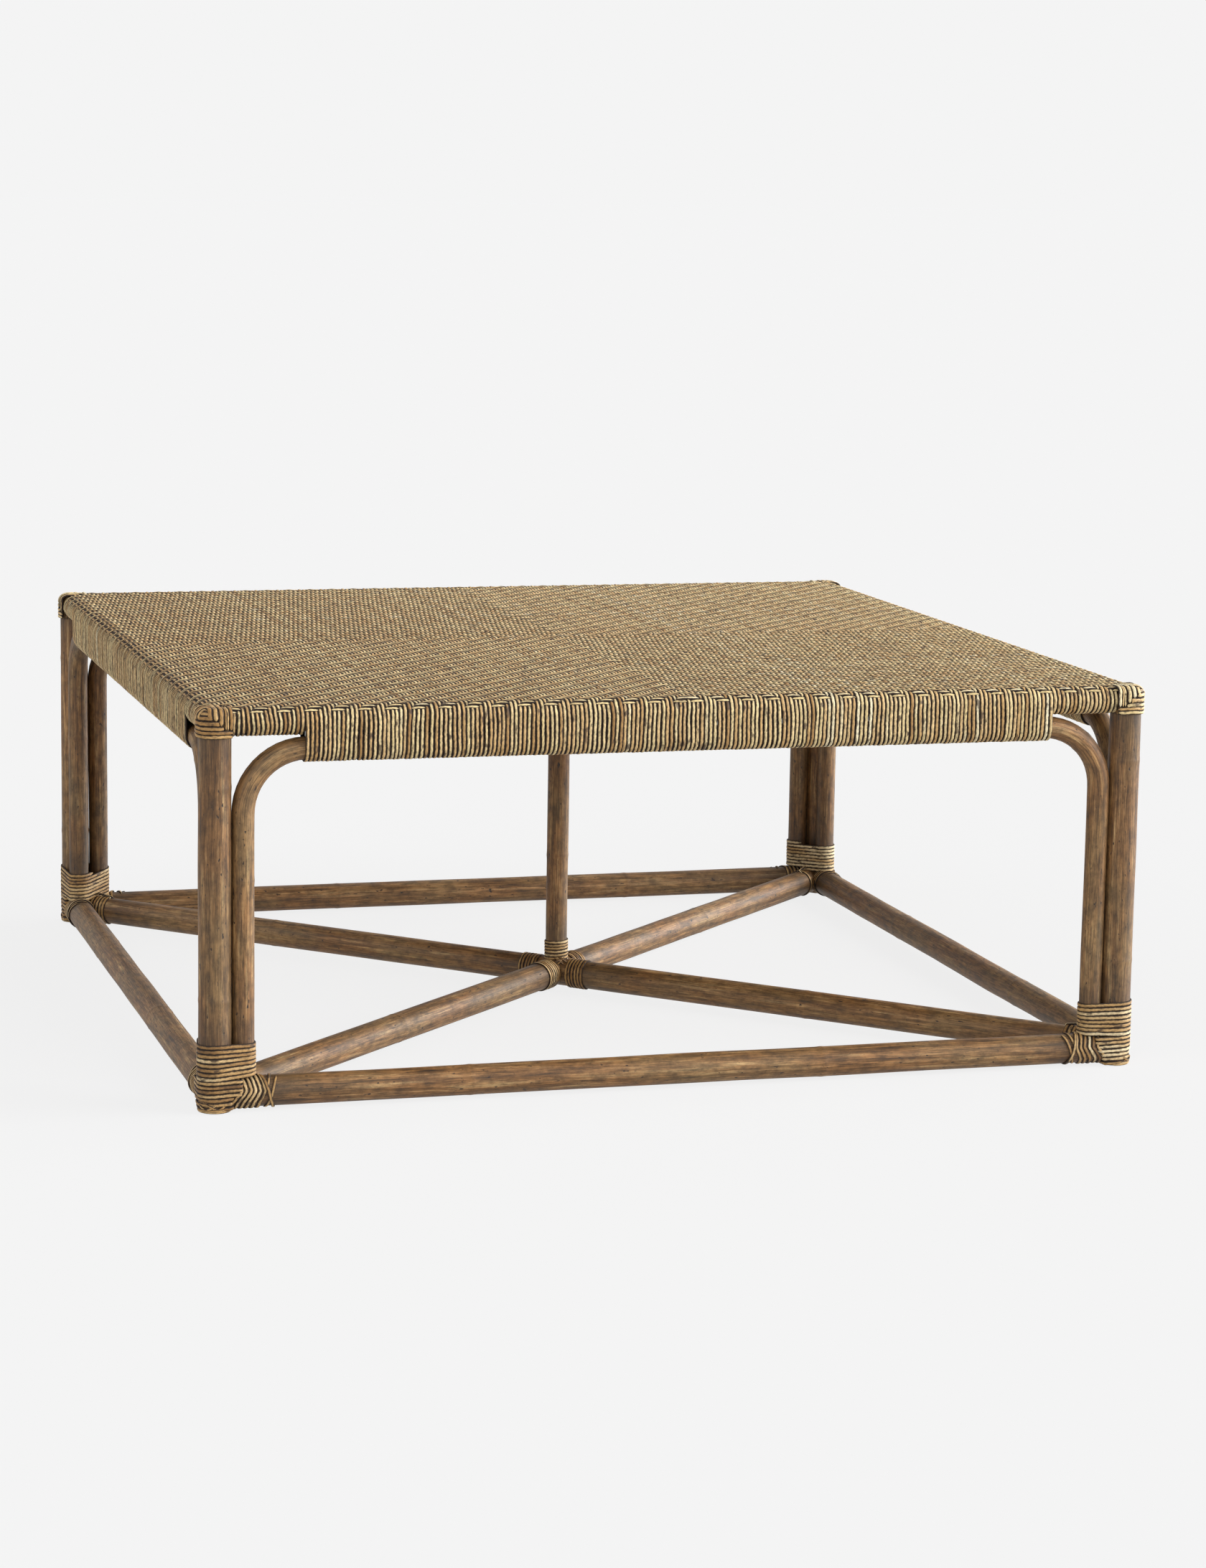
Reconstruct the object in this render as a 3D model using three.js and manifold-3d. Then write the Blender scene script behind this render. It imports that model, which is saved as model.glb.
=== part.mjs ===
import * as THREE from 'three';
import { mergeVertices } from 'three/addons/utils/BufferGeometryUtils.js';
import Module from 'manifold-3d';

// Rattan coffee table: a frame of round and bent poles, tied with cane, under a woven top.
// Millimetres, +Z up. The origin is on the floor below the middle of the table,
// +X runs along the front and +Y to the back.

// Overall sizes
const TABLE_LENGTH = 1067;
const TABLE_DEPTH = 1067;
const TABLE_HEIGHT = 432;

// Fit between touching pieces, and how far a cut runs past what it cuts
const SEAT_GAP = 0.3;
const CUT_OVERRUN = 2;

// Poles
const LEG_DIAMETER = 35;
const STRETCHER_DIAMETER = 33;
const DIAGONAL_DIAMETER = 33;
const ARCH_DIAMETER = 23.6;
const RAIL_DIAMETER = 25;
const CROSS_RAIL_DIAMETER = 28;
const POST_DIAMETER = 26;
const FOOT_CHAMFER = 2;
const ARCH_BEND_RADIUS = 68;
const LEG_TO_ARCH_GAP = 1;
const RAIL_TO_CROWN_GAP = 5.5;

// Growth rings of the poles: a low swelling at each joint of the stem
const NODE_SWELL = 0.5;
const NODE_HALF_LENGTH = 6;
const LEG_NODE_SHARES = [0.28, 0.81];
const STRETCHER_NODE_SHARES = [0.27, 0.66];
const ARM_NODE_SHARES = [0.52];
const POST_NODE_SHARES = [0.37];

// Top: woven skin, the skin wrapped round the rails, and the board below
const WEAVE_THICKNESS = 3.2;
const DECK_THICKNESS = 12;
const CAP_WALL = 2.7;
const CAP_DEPTH = 32.5;
const CAP_ROUNDING = 7;

// Cane strand of the bindings, flat on the side that lies on the pole
const STRAND_WIDTH = 3.6;
const STRAND_CROWN_WIDTH = 2;
const STRAND_THICKNESS = 2;
const TURN_GAP = 0.6;

// Bindings: counts of turns, and how far strands leave the square wrap
const BINDING_TURNS = 8;
const BINDING_DIP_LOWEST = 6;
const BINDING_DIP_HIGHEST = 2;
const STRETCHER_BINDING_TURNS = 5;
const STRETCHER_TURN_PITCH = 5;
const CHEVRON_REACH = 6;
const ARM_BINDING_TURNS = 5;
const POST_BINDING_TURNS = 5;

// Facets
const POLE_SIDES = 16;
const ARCH_SIDES = 12;
const BEND_STEPS = 6;
const HALF_OUTLINE_STEPS = 8;
const CAP_SIDES = 16;
const CAP_ROUNDING_STEPS = 3;
const RING_STEPS = 8;
const BUNDLE_ARC_STEPS = 3;

// Finishes
const POLE_FINISH = { color: '#7a6248', roughness: 0.55, metalness: 0 };
const WEAVE_FINISH = { color: '#a98f5f', roughness: 0.6, metalness: 0 };
const CANE_FINISH = { color: '#b39a66', roughness: 0.5, metalness: 0 };
const BOARD_FINISH = { color: '#a3865c', roughness: 0.8, metalness: 0 };

// Radii
const legRadius = LEG_DIAMETER / 2;
const stretcherRadius = STRETCHER_DIAMETER / 2;
const diagonalRadius = DIAGONAL_DIAMETER / 2;
const archRadius = ARCH_DIAMETER / 2;
const railRadius = RAIL_DIAMETER / 2;
const crossRailRadius = CROSS_RAIL_DIAMETER / 2;
const postRadius = POST_DIAMETER / 2;
const capRadius = legRadius + SEAT_GAP + CAP_WALL;

// Plan: legs stand in the corner caps, arches stand just inside the legs
const legX = TABLE_LENGTH / 2 - capRadius;
const legY = TABLE_DEPTH / 2 - capRadius;
const archInset = legRadius + LEG_TO_ARCH_GAP + archRadius;

// Heights of the foot: bindings clear the floor, arches stand on the bound stretchers
const bindingBuild = SEAT_GAP + STRAND_THICKNESS;
const stretcherZ = stretcherRadius + bindingBuild + SEAT_GAP;
const diagonalZ = diagonalRadius + bindingBuild + SEAT_GAP;
const stretcherBindingTop = stretcherZ + stretcherRadius + bindingBuild;
const archFootZ = stretcherBindingTop + SEAT_GAP;

// Heights of the top, worked down from the table height
const weaveUnderside = TABLE_HEIGHT - WEAVE_THICKNESS;
const legTop = weaveUnderside - SEAT_GAP;
const railZ = legTop - railRadius;
const crownZ = railZ - railRadius - RAIL_TO_CROWN_GAP - archRadius;
const deckUnderside = legTop - DECK_THICKNESS;
const crossRailZ = deckUnderside - SEAT_GAP - crossRailRadius;
const capUnderside = TABLE_HEIGHT - CAP_DEPTH;
const wrapRadius = railRadius + SEAT_GAP + WEAVE_THICKNESS;
const crownWrapRadius = archRadius + SEAT_GAP + WEAVE_THICKNESS;

// Turns of a binding
const tightPitch = STRAND_WIDTH + TURN_GAP;
const halfStrand = STRAND_WIDTH / 2;
const ringReach = (radius) => clearOf(radius + SEAT_GAP, RING_STEPS) + STRAND_THICKNESS;
const lashingReach = ringReach(legRadius);
const stretcherBindingReach = ringReach(stretcherRadius);
const bindingBottom = stretcherBindingTop + SEAT_GAP + halfStrand;
const bindingTop = bindingBottom + BINDING_TURNS * tightPitch + halfStrand;

const CORNERS = [
  { name: 'front_left', x: -legX, y: -legY, quarterTurns: 0 },
  { name: 'front_right', x: legX, y: -legY, quarterTurns: 1 },
  { name: 'back_right', x: legX, y: legY, quarterTurns: 2 },
  { name: 'back_left', x: -legX, y: legY, quarterTurns: 3 },
];

// Each side is built along its own X axis, with its outer face towards its own -Y
const SIDES = [
  { name: 'front', half: legX, offset: legY, quarterTurns: 0, ends: ['left', 'right'] },
  { name: 'right', half: legY, offset: legX, quarterTurns: 1, ends: ['front', 'back'] },
  { name: 'back', half: legX, offset: legY, quarterTurns: 2, ends: ['right', 'left'] },
  { name: 'left', half: legY, offset: legX, quarterTurns: 3, ends: ['back', 'front'] },
];

const AXIS_X = new THREE.Vector3(1, 0, 0);
const AXIS_Y = new THREE.Vector3(0, 1, 0);
const AXIS_Z = new THREE.Vector3(0, 0, 1);

const wasm = await Module();
wasm.setup();

// Solids

/** The geometry with shared corners welded and only its positions left. */
function welded(geometry) {
  const bare = geometry.clone();
  bare.deleteAttribute('normal');
  bare.deleteAttribute('uv');
  const merged = mergeVertices(bare);
  const index = merged.index.array;
  const kept = [];
  for (let i = 0; i < index.length; i += 3) {
    const [a, b, c] = [index[i], index[i + 1], index[i + 2]];
    if (a !== b && b !== c && c !== a) {
      kept.push(a, b, c);
    }
  }
  merged.setIndex(kept);
  return merged;
}

function toSolid(geometry) {
  const closed = welded(geometry);
  return new wasm.Manifold(
    new wasm.Mesh({
      numProp: 3,
      vertProperties: new Float32Array(closed.attributes.position.array),
      triVerts: new Uint32Array(closed.index.array),
    }),
  );
}

function fromSolid(solid) {
  const mesh = solid.getMesh();
  const geometry = new THREE.BufferGeometry();
  geometry.setAttribute('position', new THREE.BufferAttribute(mesh.vertProperties, 3));
  geometry.setIndex(new THREE.BufferAttribute(mesh.triVerts, 1));
  return geometry;
}

function join(first, ...others) {
  return fromSolid(others.reduce((solid, other) => solid.add(toSolid(other)), toSolid(first)));
}

function cut(first, ...others) {
  return fromSolid(others.reduce((solid, other) => solid.subtract(toSolid(other)), toSolid(first)));
}

function overlap(first, other) {
  return fromSolid(toSolid(first).intersect(toSolid(other)));
}

// Outlines

/** Direction of the outward normal where a taut line leaves one circle for the next. */
function tangentAngle(from, to) {
  const dx = to.x - from.x;
  const dy = to.y - from.y;
  return Math.atan2(dy, dx) - Math.acos((from.radius - to.radius) / Math.hypot(dx, dy));
}

/** A ring of points round one circle, with flats towards the axes. */
function ringOutline(radius, steps) {
  const step = (2 * Math.PI) / steps;
  return Array.from({ length: steps }, (_, i) => {
    const angle = (i + 1 / 2) * step;
    return { x: radius * Math.cos(angle), y: radius * Math.sin(angle), angle, circle: 0 };
  });
}

/** The reach of the corners of a ring whose flats lie on the circle. */
function clearOf(radius, steps) {
  return radius / Math.cos(Math.PI / steps);
}

/** The taut outline round circles listed anticlockwise; outside them all, or with corners on them. */
function tautOutline(circles, arcSteps, outside) {
  return circles.flatMap((circle, i) => {
    const start = tangentAngle(circles.at(i - 1), circle);
    const end = tangentAngle(circle, circles[(i + 1) % circles.length]);
    const sweep = (end - start + 4 * Math.PI) % (2 * Math.PI);
    const reach = outside ? clearOf(circle.radius, (arcSteps * 2 * Math.PI) / sweep) : circle.radius;
    return Array.from({ length: arcSteps + 1 }, (_, k) => {
      const angle = start + (sweep * k) / arcSteps;
      const x = circle.x + reach * Math.cos(angle);
      const y = circle.y + reach * Math.sin(angle);
      return { x, y, angle, circle: i };
    });
  });
}

function shapeOf(points) {
  return new THREE.Shape(points.map((point) => new THREE.Vector2(point.x, point.y)));
}

// Poles

/** Points along a pole's radius: a plain stem with a low swelling at each node. */
function stemProfile(length, radius, nodes, chamfer) {
  const foot = chamfer > 0
    ? [[radius - chamfer, 0], [radius, chamfer]]
    : [[radius, 0]];
  const rings = nodes.flatMap((z) => [
    [radius, z - NODE_HALF_LENGTH],
    [radius + NODE_SWELL, z],
    [radius, z + NODE_HALF_LENGTH],
  ]);
  return [[0, 0], ...foot, ...rings, [radius, length], [0, length]];
}

/** A round pole standing on the origin along +Z. */
function stem(length, radius, nodes = [], chamfer = 0) {
  const profile = stemProfile(length, radius, nodes, chamfer).map(([r, z]) => new THREE.Vector2(r, z));
  return new THREE.LatheGeometry(profile, POLE_SIDES).rotateX(Math.PI / 2);
}

/** A round pole along X, centred on the origin. */
function lyingStem(length, radius, nodes = []) {
  return stem(length, radius, nodes).translate(0, 0, -length / 2).rotateY(Math.PI / 2);
}

/** A cutter as wide as a round piece plus the seat gap, whose flats keep that gap. */
function roundCutter(length, radius) {
  return stem(length, clearOf(radius + SEAT_GAP, POLE_SIDES));
}

/** The centre line of an arch, from one foot over the crown to the other. */
class ArchCurve extends THREE.Curve {
  constructor(halfSpan, footZ, topZ, bendRadius) {
    super();
    const bend = (x, start, end) => new THREE.EllipseCurve(
      x, topZ - bendRadius, bendRadius, bendRadius, start, end, true,
    );
    const straight = (x0, z0, x1, z1) => new THREE.LineCurve(
      new THREE.Vector2(x0, z0), new THREE.Vector2(x1, z1),
    );
    const inner = halfSpan - bendRadius;
    this.runs = [
      { curve: straight(-halfSpan, footZ, -halfSpan, topZ - bendRadius), steps: 1 },
      { curve: bend(-inner, Math.PI, Math.PI / 2), steps: BEND_STEPS },
      { curve: straight(-inner, topZ, inner, topZ), steps: 1 },
      { curve: bend(inner, Math.PI / 2, 0), steps: BEND_STEPS },
      { curve: straight(halfSpan, topZ - bendRadius, halfSpan, footZ), steps: 1 },
    ];
    this.steps = this.runs.reduce((sum, run) => sum + run.steps, 0);
  }

  /** Equal shares of t are equal numbers of steps, so that only the bends take many. */
  getPoint(t) {
    let left = t * this.steps;
    let i = 0;
    while (left > this.runs[i].steps && i < this.runs.length - 1) {
      left -= this.runs[i].steps;
      i += 1;
    }
    const { x, y } = this.runs[i].curve.getPoint(Math.min(left / this.runs[i].steps, 1));
    return new THREE.Vector3(x, 0, y);
  }

  getUtoTmapping(u) {
    return u;
  }
}

function archTube(half, radius) {
  const curve = new ArchCurve(half - archInset, archFootZ, crownZ, ARCH_BEND_RADIUS);
  return new THREE.ExtrudeGeometry(shapeOf(ringOutline(radius, ARCH_SIDES)), {
    steps: curve.steps,
    extrudePath: curve,
    bevelEnabled: false,
  });
}

// Cane windings

/** Where a strand lies on a round pole: the flats of the ring keep the seat gap. */
function boundRing(poleRadius) {
  return ringOutline(clearOf(poleRadius + SEAT_GAP, RING_STEPS), RING_STEPS);
}

/**
 * One strand wound round an outline in the XY plane and climbing along +Z.
 * shift gives the extra climb of a point of the outline, for a share of the whole binding.
 */
function windingStations(outline, turns, pitch, shift) {
  const lengths = outline.map((point, i) => {
    const next = outline[(i + 1) % outline.length];
    return Math.hypot(next.x - point.x, next.y - point.y);
  });
  const round = lengths.reduce((sum, length) => sum + length, 0);
  const stations = [];
  for (let turn = 0; turn < turns; turn += 1) {
    let run = 0;
    outline.forEach((point, i) => {
      const climb = turn + run / round;
      const z = pitch * climb + shift(point, climb / turns);
      stations.push({ centre: new THREE.Vector3(point.x, point.y, z), angle: point.angle });
      run += lengths[i];
    });
  }
  return stations;
}

/** The four corners of the strand at a station: the flat side in, the narrow crown out. */
function strandSection(stations, i) {
  const { centre, angle } = stations[i];
  const before = stations[Math.max(i - 1, 0)].centre;
  const after = stations[Math.min(i + 1, stations.length - 1)].centre;
  const along = after.clone().sub(before).normalize();
  const out = new THREE.Vector3(Math.cos(angle), Math.sin(angle), 0);
  const across = out.clone().cross(along).normalize();
  const corner = (depth, width) => centre.clone().addScaledVector(out, depth).addScaledVector(across, width);
  return [
    corner(0, -halfStrand),
    corner(STRAND_THICKNESS, -STRAND_CROWN_WIDTH / 2),
    corner(STRAND_THICKNESS, STRAND_CROWN_WIDTH / 2),
    corner(0, halfStrand),
  ];
}

/** Least distance between corners of the strand that lie more than half a turn apart. */
function leastGap(sections, stepsPerTurn) {
  let least = Infinity;
  sections.forEach((section, i) => {
    sections.slice(i + Math.ceil(stepsPerTurn / 2)).forEach((other) => {
      section.forEach((a) => other.forEach((b) => {
        least = Math.min(least, a.distanceTo(b));
      }));
    });
  });
  return least;
}

/** The strand as one closed tube; its first and last chords lie straight along the pole. */
function winding(name, outline, turns, pitch, shift = () => 0) {
  const stations = windingStations(outline, turns, pitch, shift);
  const sections = stations.map((_, i) => strandSection(stations, i));
  console.log(`${name}: least gap to itself ${leastGap(sections, outline.length).toFixed(2)} mm`);
  const corners = sections[0].length;
  const index = [];
  for (let i = 0; i + 1 < sections.length; i += 1) {
    for (let k = 0; k < corners; k += 1) {
      const next = (k + 1) % corners;
      const [a, b] = [i * corners + k, i * corners + next];
      const [c, d] = [a + corners, b + corners];
      index.push(a, c, d, a, d, b);
    }
  }
  const last = (sections.length - 1) * corners;
  index.push(0, 1, 2, 0, 2, 3);
  index.push(last, last + 2, last + 1, last, last + 3, last + 2);
  const geometry = new THREE.BufferGeometry().setFromPoints(sections.flat());
  geometry.setIndex(index);
  return geometry;
}

// Pieces of a corner, built round the leg's axis with the table's middle towards +X and +Y

function leg() {
  const free = capUnderside - bindingTop;
  const nodes = LEG_NODE_SHARES.map((share) => bindingTop + share * free);
  return stem(legTop, legRadius, nodes, FOOT_CHAMFER);
}

/** Turns round the leg alone, from the floor up to where the upper binding dips. */
function footLashing(name) {
  const lowest = SEAT_GAP + halfStrand;
  const highest = bindingBottom - BINDING_DIP_LOWEST - tightPitch;
  const turns = Math.floor((highest - lowest) / tightPitch);
  const outline = boundRing(legRadius);
  return winding(name, outline, turns, (highest - lowest) / turns).translate(0, 0, lowest);
}

/** Turns round the leg and the feet of both arches; they dip as they pass round the leg. */
function footBinding(name) {
  const reach = archRadius + SEAT_GAP;
  const circles = [
    { x: 0, y: archInset, radius: reach },
    { x: 0, y: 0, radius: legRadius + SEAT_GAP },
    { x: archInset, y: 0, radius: reach },
  ];
  const legCircle = 1;
  const dip = (point, share) => (point.circle === legCircle
    ? -THREE.MathUtils.lerp(BINDING_DIP_LOWEST, BINDING_DIP_HIGHEST, share)
    : 0);
  const outline = tautOutline(circles, BUNDLE_ARC_STEPS, true);
  return winding(name, outline, BINDING_TURNS, tightPitch, dip).translate(0, 0, bindingBottom);
}

/** Woven cap over the leg's top: a round sleeve with a rounded crown and holes for both rails. */
function cornerCap() {
  const boreRadius = clearOf(legRadius + SEAT_GAP, CAP_SIDES);
  const crown = Array.from({ length: CAP_ROUNDING_STEPS + 1 }, (_, i) => {
    const angle = (Math.PI / 2) * (i / CAP_ROUNDING_STEPS);
    return new THREE.Vector2(
      capRadius - CAP_ROUNDING * (1 - Math.cos(angle)),
      TABLE_HEIGHT - CAP_ROUNDING * (1 - Math.sin(angle)),
    );
  });
  const profile = [
    new THREE.Vector2(0, weaveUnderside),
    new THREE.Vector2(boreRadius, weaveUnderside),
    new THREE.Vector2(boreRadius, capUnderside),
    new THREE.Vector2(capRadius, capUnderside),
    ...crown,
    new THREE.Vector2(0, TABLE_HEIGHT),
  ];
  const sleeve = new THREE.LatheGeometry(profile, CAP_SIDES).rotateX(Math.PI / 2);
  const railHole = roundCutter(capRadius + CUT_OVERRUN, railRadius);
  return cut(
    sleeve,
    railHole.clone().rotateY(Math.PI / 2).translate(0, 0, railZ),
    railHole.clone().rotateX(-Math.PI / 2).translate(0, 0, railZ),
  );
}

// Pieces of a side, built along X with the legs' axes at both ends of `half`

/** Everything past the 45 degree mitre at a leg, so that two poles can meet there. */
function mitreCutter(end, half, reach, z) {
  const size = 2 * reach;
  const back = SEAT_GAP * Math.SQRT1_2;
  const shape = shapeOf([
    { x: end * (half + size), y: -size - back },
    { x: end * (half - size), y: size - back },
    { x: end * (half + size), y: size - back },
  ]);
  const height = 2 * size;
  return new THREE.ExtrudeGeometry(shape, { depth: height, bevelEnabled: false })
    .translate(0, 0, z - height / 2);
}

/** A pole or wrap along X, coped round what stands at both legs and mitred to its neighbours. */
function seatedBetweenLegs(piece, half, reach, z, standingRadius) {
  const height = 4 * reach;
  const standing = roundCutter(height, standingRadius).translate(0, 0, z - height / 2);
  const cutters = [-1, 1].flatMap((end) => [
    standing.clone().translate(end * half, 0, 0),
    mitreCutter(end, half, reach, z),
  ]);
  return cut(piece, ...cutters);
}

function stretcher(half) {
  const bound = lashingReach + SEAT_GAP + STRETCHER_BINDING_TURNS * STRETCHER_TURN_PITCH + CHEVRON_REACH;
  const free = 2 * (half - bound);
  const nodes = STRETCHER_NODE_SHARES.map((share) => bound + share * free);
  const pole = lyingStem(2 * half, stretcherRadius, nodes).translate(0, 0, stretcherZ);
  return seatedBetweenLegs(pole, half, stretcherRadius, stretcherZ, lashingReach);
}

/** Turns round a stretcher next to the leg, drawn to a point on the outer face. */
function stretcherBinding(name) {
  const start = lashingReach + SEAT_GAP + halfStrand;
  const outline = boundRing(stretcherRadius);
  const chevron = (point) => CHEVRON_REACH * Math.max(Math.cos(point.angle), 0);
  return winding(name, outline, STRETCHER_BINDING_TURNS, STRETCHER_TURN_PITCH, chevron).translate(0, 0, start);
}

function arch(half) {
  return archTube(half, archRadius);
}

function rail(half) {
  const pole = lyingStem(2 * half, railRadius).translate(0, 0, railZ);
  return seatedBetweenLegs(pole, half, railRadius, railZ, legRadius);
}

/** The shape of a wrap along X, from its outline in the YZ plane. */
function extrudedAlongX(outline, length) {
  const basis = new THREE.Matrix4().makeBasis(AXIS_Y, AXIS_Z, AXIS_X);
  return new THREE.ExtrudeGeometry(shapeOf(outline), { depth: length, bevelEnabled: false })
    .translate(0, 0, -length / 2)
    .applyMatrix4(basis);
}

/** Woven wrap of a side: shallow at the ends, and deep where the arch's crown lies under the rail. */
function apronWrap(half) {
  const deepLength = 2 * (half - archInset - ARCH_BEND_RADIUS);
  const full = 2 * half;
  const rounds = (railReach, crownReach, outside) => tautOutline([
    { x: 0, y: railZ, radius: railReach },
    { x: 0, y: crownZ, radius: crownReach },
  ], HALF_OUTLINE_STEPS, outside);
  const ring = (radius) => ringOutline(radius, 2 * HALF_OUTLINE_STEPS)
    .map(({ x, y }) => ({ x, y: y + railZ }));
  const solidWrap = join(
    extrudedAlongX(ring(wrapRadius), full),
    extrudedAlongX(rounds(wrapRadius, crownWrapRadius, false), deepLength),
  );
  const railBore = railRadius + SEAT_GAP;
  const inside = join(
    extrudedAlongX(ring(clearOf(railBore, 2 * HALF_OUTLINE_STEPS)), full + CUT_OVERRUN),
    extrudedAlongX(rounds(railBore, archRadius + 2 * SEAT_GAP, true), deepLength + CUT_OVERRUN),
  );
  const archClearance = clearOf(archRadius + SEAT_GAP, ARCH_SIDES);
  const underWeave = new THREE.BoxGeometry(full + CUT_OVERRUN, wrapRadius + CUT_OVERRUN, WEAVE_THICKNESS * 2)
    .translate(0, (wrapRadius + CUT_OVERRUN) / 2 - SEAT_GAP, weaveUnderside - SEAT_GAP + WEAVE_THICKNESS);
  const wrap = cut(solidWrap, inside, archTube(half, archClearance), underWeave);
  return seatedBetweenLegs(wrap, half, wrapRadius, railZ, capRadius);
}

// Pieces in the middle

/** The two diagonals cross under the post: one runs through and the other is in two halves. */
const diagonalLength = 2 * Math.hypot(legX, legY);
const diagonalAngle = Math.atan2(legY, legX);
const crossingAngle = Math.min(2 * diagonalAngle, Math.PI - 2 * diagonalAngle);
const armBindingReach = ringReach(diagonalRadius);
const armBindingStart = (armBindingReach + SEAT_GAP) / Math.tan(crossingAngle / 2) + halfStrand;
const armBindingEnd = armBindingStart + ARM_BINDING_TURNS * tightPitch + halfStrand;

/** Distances of an arm's growth rings from the middle. */
function armNodes() {
  const free = diagonalLength / 2 - stretcherBindingReach * 2 - armBindingEnd;
  return ARM_NODE_SHARES.map((share) => armBindingEnd + share * free);
}

/** The room for the diagonals between the bound stretchers, which cuts their ends to points. */
function diagonalRoom() {
  const inset = stretcherBindingReach + SEAT_GAP;
  return new THREE.BoxGeometry(2 * (legX - inset), 2 * (legY - inset), 4 * diagonalRadius)
    .translate(0, 0, diagonalZ);
}

function throughDiagonal() {
  const nodes = armNodes().flatMap((distance) => [diagonalLength / 2 - distance, diagonalLength / 2 + distance]);
  nodes.sort((a, b) => a - b);
  const pole = lyingStem(diagonalLength, diagonalRadius, nodes)
    .rotateZ(-diagonalAngle)
    .translate(0, 0, diagonalZ);
  return overlap(pole, diagonalRoom());
}

/** Half a diagonal, from the through pole, which it is coped to, out to its corner. */
function halfDiagonal(end) {
  const pole = stem(diagonalLength / 2, diagonalRadius, armNodes())
    .rotateY((end * Math.PI) / 2)
    .rotateZ(diagonalAngle)
    .translate(0, 0, diagonalZ);
  const through = roundCutter(diagonalLength, diagonalRadius)
    .translate(0, 0, -diagonalLength / 2)
    .rotateY(Math.PI / 2)
    .rotateZ(-diagonalAngle)
    .translate(0, 0, diagonalZ);
  return cut(overlap(pole, diagonalRoom()), through);
}

function armBinding(name) {
  const outline = boundRing(diagonalRadius);
  return winding(name, outline, ARM_BINDING_TURNS, tightPitch).translate(0, 0, armBindingStart);
}

/** The post stands coped on the crossing and carries the cross rails, coped to them as well. */
function centrePost() {
  const free = crossRailZ - diagonalZ;
  const nodes = POST_NODE_SHARES.map((share) => share * free);
  const pole = stem(free, postRadius, nodes).translate(0, 0, diagonalZ);
  const lying = (length, radius, angle, z) => roundCutter(length, radius)
    .translate(0, 0, -length / 2)
    .rotateY(Math.PI / 2)
    .rotateZ(angle)
    .translate(0, 0, z);
  const width = 4 * POST_DIAMETER;
  return cut(
    pole,
    lying(width, diagonalRadius, diagonalAngle, diagonalZ),
    lying(width, diagonalRadius, -diagonalAngle, diagonalZ),
    lying(width, crossRailRadius, 0, crossRailZ),
    lying(width, crossRailRadius, Math.PI / 2, crossRailZ),
  );
}

function postBinding(name) {
  const outline = boundRing(postRadius);
  const lowest = diagonalZ + diagonalRadius + SEAT_GAP + halfStrand;
  return winding(name, outline, POST_BINDING_TURNS, tightPitch).translate(0, 0, lowest);
}

// Top

/** A flat panel between the rails, cut round the four corner caps. */
function panel(halfLength, halfDepth, thickness, topZ) {
  const board = new THREE.BoxGeometry(2 * halfLength, 2 * halfDepth, thickness)
    .translate(0, 0, topZ - thickness / 2);
  const height = thickness + 2 * CUT_OVERRUN;
  const corner = roundCutter(height, capRadius).translate(0, 0, topZ + CUT_OVERRUN - height);
  return cut(board, ...CORNERS.map(({ x, y }) => corner.clone().translate(x, y, 0)));
}

function wovenTop() {
  return panel(legX, legY, WEAVE_THICKNESS, TABLE_HEIGHT);
}

function deck() {
  const inset = wrapRadius + SEAT_GAP;
  return panel(legX - inset, legY - inset, DECK_THICKNESS, legTop);
}

/** A rail under the deck, from wrap to wrap. */
function crossRailLong() {
  const length = 2 * (legX - wrapRadius - SEAT_GAP);
  return lyingStem(length, crossRailRadius).translate(0, 0, crossRailZ);
}

/** Half of the other cross rail, coped to the long one. */
function crossRailHalf(end) {
  const pole = stem(legY - wrapRadius - SEAT_GAP, crossRailRadius)
    .rotateX((-end * Math.PI) / 2)
    .translate(0, 0, crossRailZ);
  const width = 4 * crossRailRadius;
  const through = roundCutter(width, crossRailRadius)
    .translate(0, 0, -width / 2)
    .rotateY(Math.PI / 2)
    .translate(0, 0, crossRailZ);
  return cut(pole, through);
}

// Assembly

function mesh(name, geometry, finish) {
  const piece = new THREE.Mesh(geometry, new THREE.MeshStandardMaterial(finish));
  piece.name = name;
  return piece;
}

function cornerGroup({ name, x, y, quarterTurns }) {
  const group = new THREE.Group();
  group.add(
    mesh(`leg_${name}`, leg(), POLE_FINISH),
    mesh(`foot_lashing_${name}`, footLashing(`foot_lashing_${name}`), CANE_FINISH),
    mesh(`foot_binding_${name}`, footBinding(`foot_binding_${name}`), CANE_FINISH),
    mesh(`corner_cap_${name}`, cornerCap(), CANE_FINISH),
  );
  group.position.set(x, y, 0);
  group.rotation.z = (quarterTurns * Math.PI) / 2;
  return group;
}

/** A stretcher's binding, turned so that it winds away from its leg with its point outwards. */
function placedStretcherBinding(name, end, half) {
  const away = AXIS_X.clone().multiplyScalar(-end);
  const outward = AXIS_Y.clone().negate();
  const basis = new THREE.Matrix4().makeBasis(outward, away.clone().cross(outward), away);
  const piece = mesh(name, stretcherBinding(name).applyMatrix4(basis), CANE_FINISH);
  piece.position.set(end * half, 0, stretcherZ);
  return piece;
}

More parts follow.
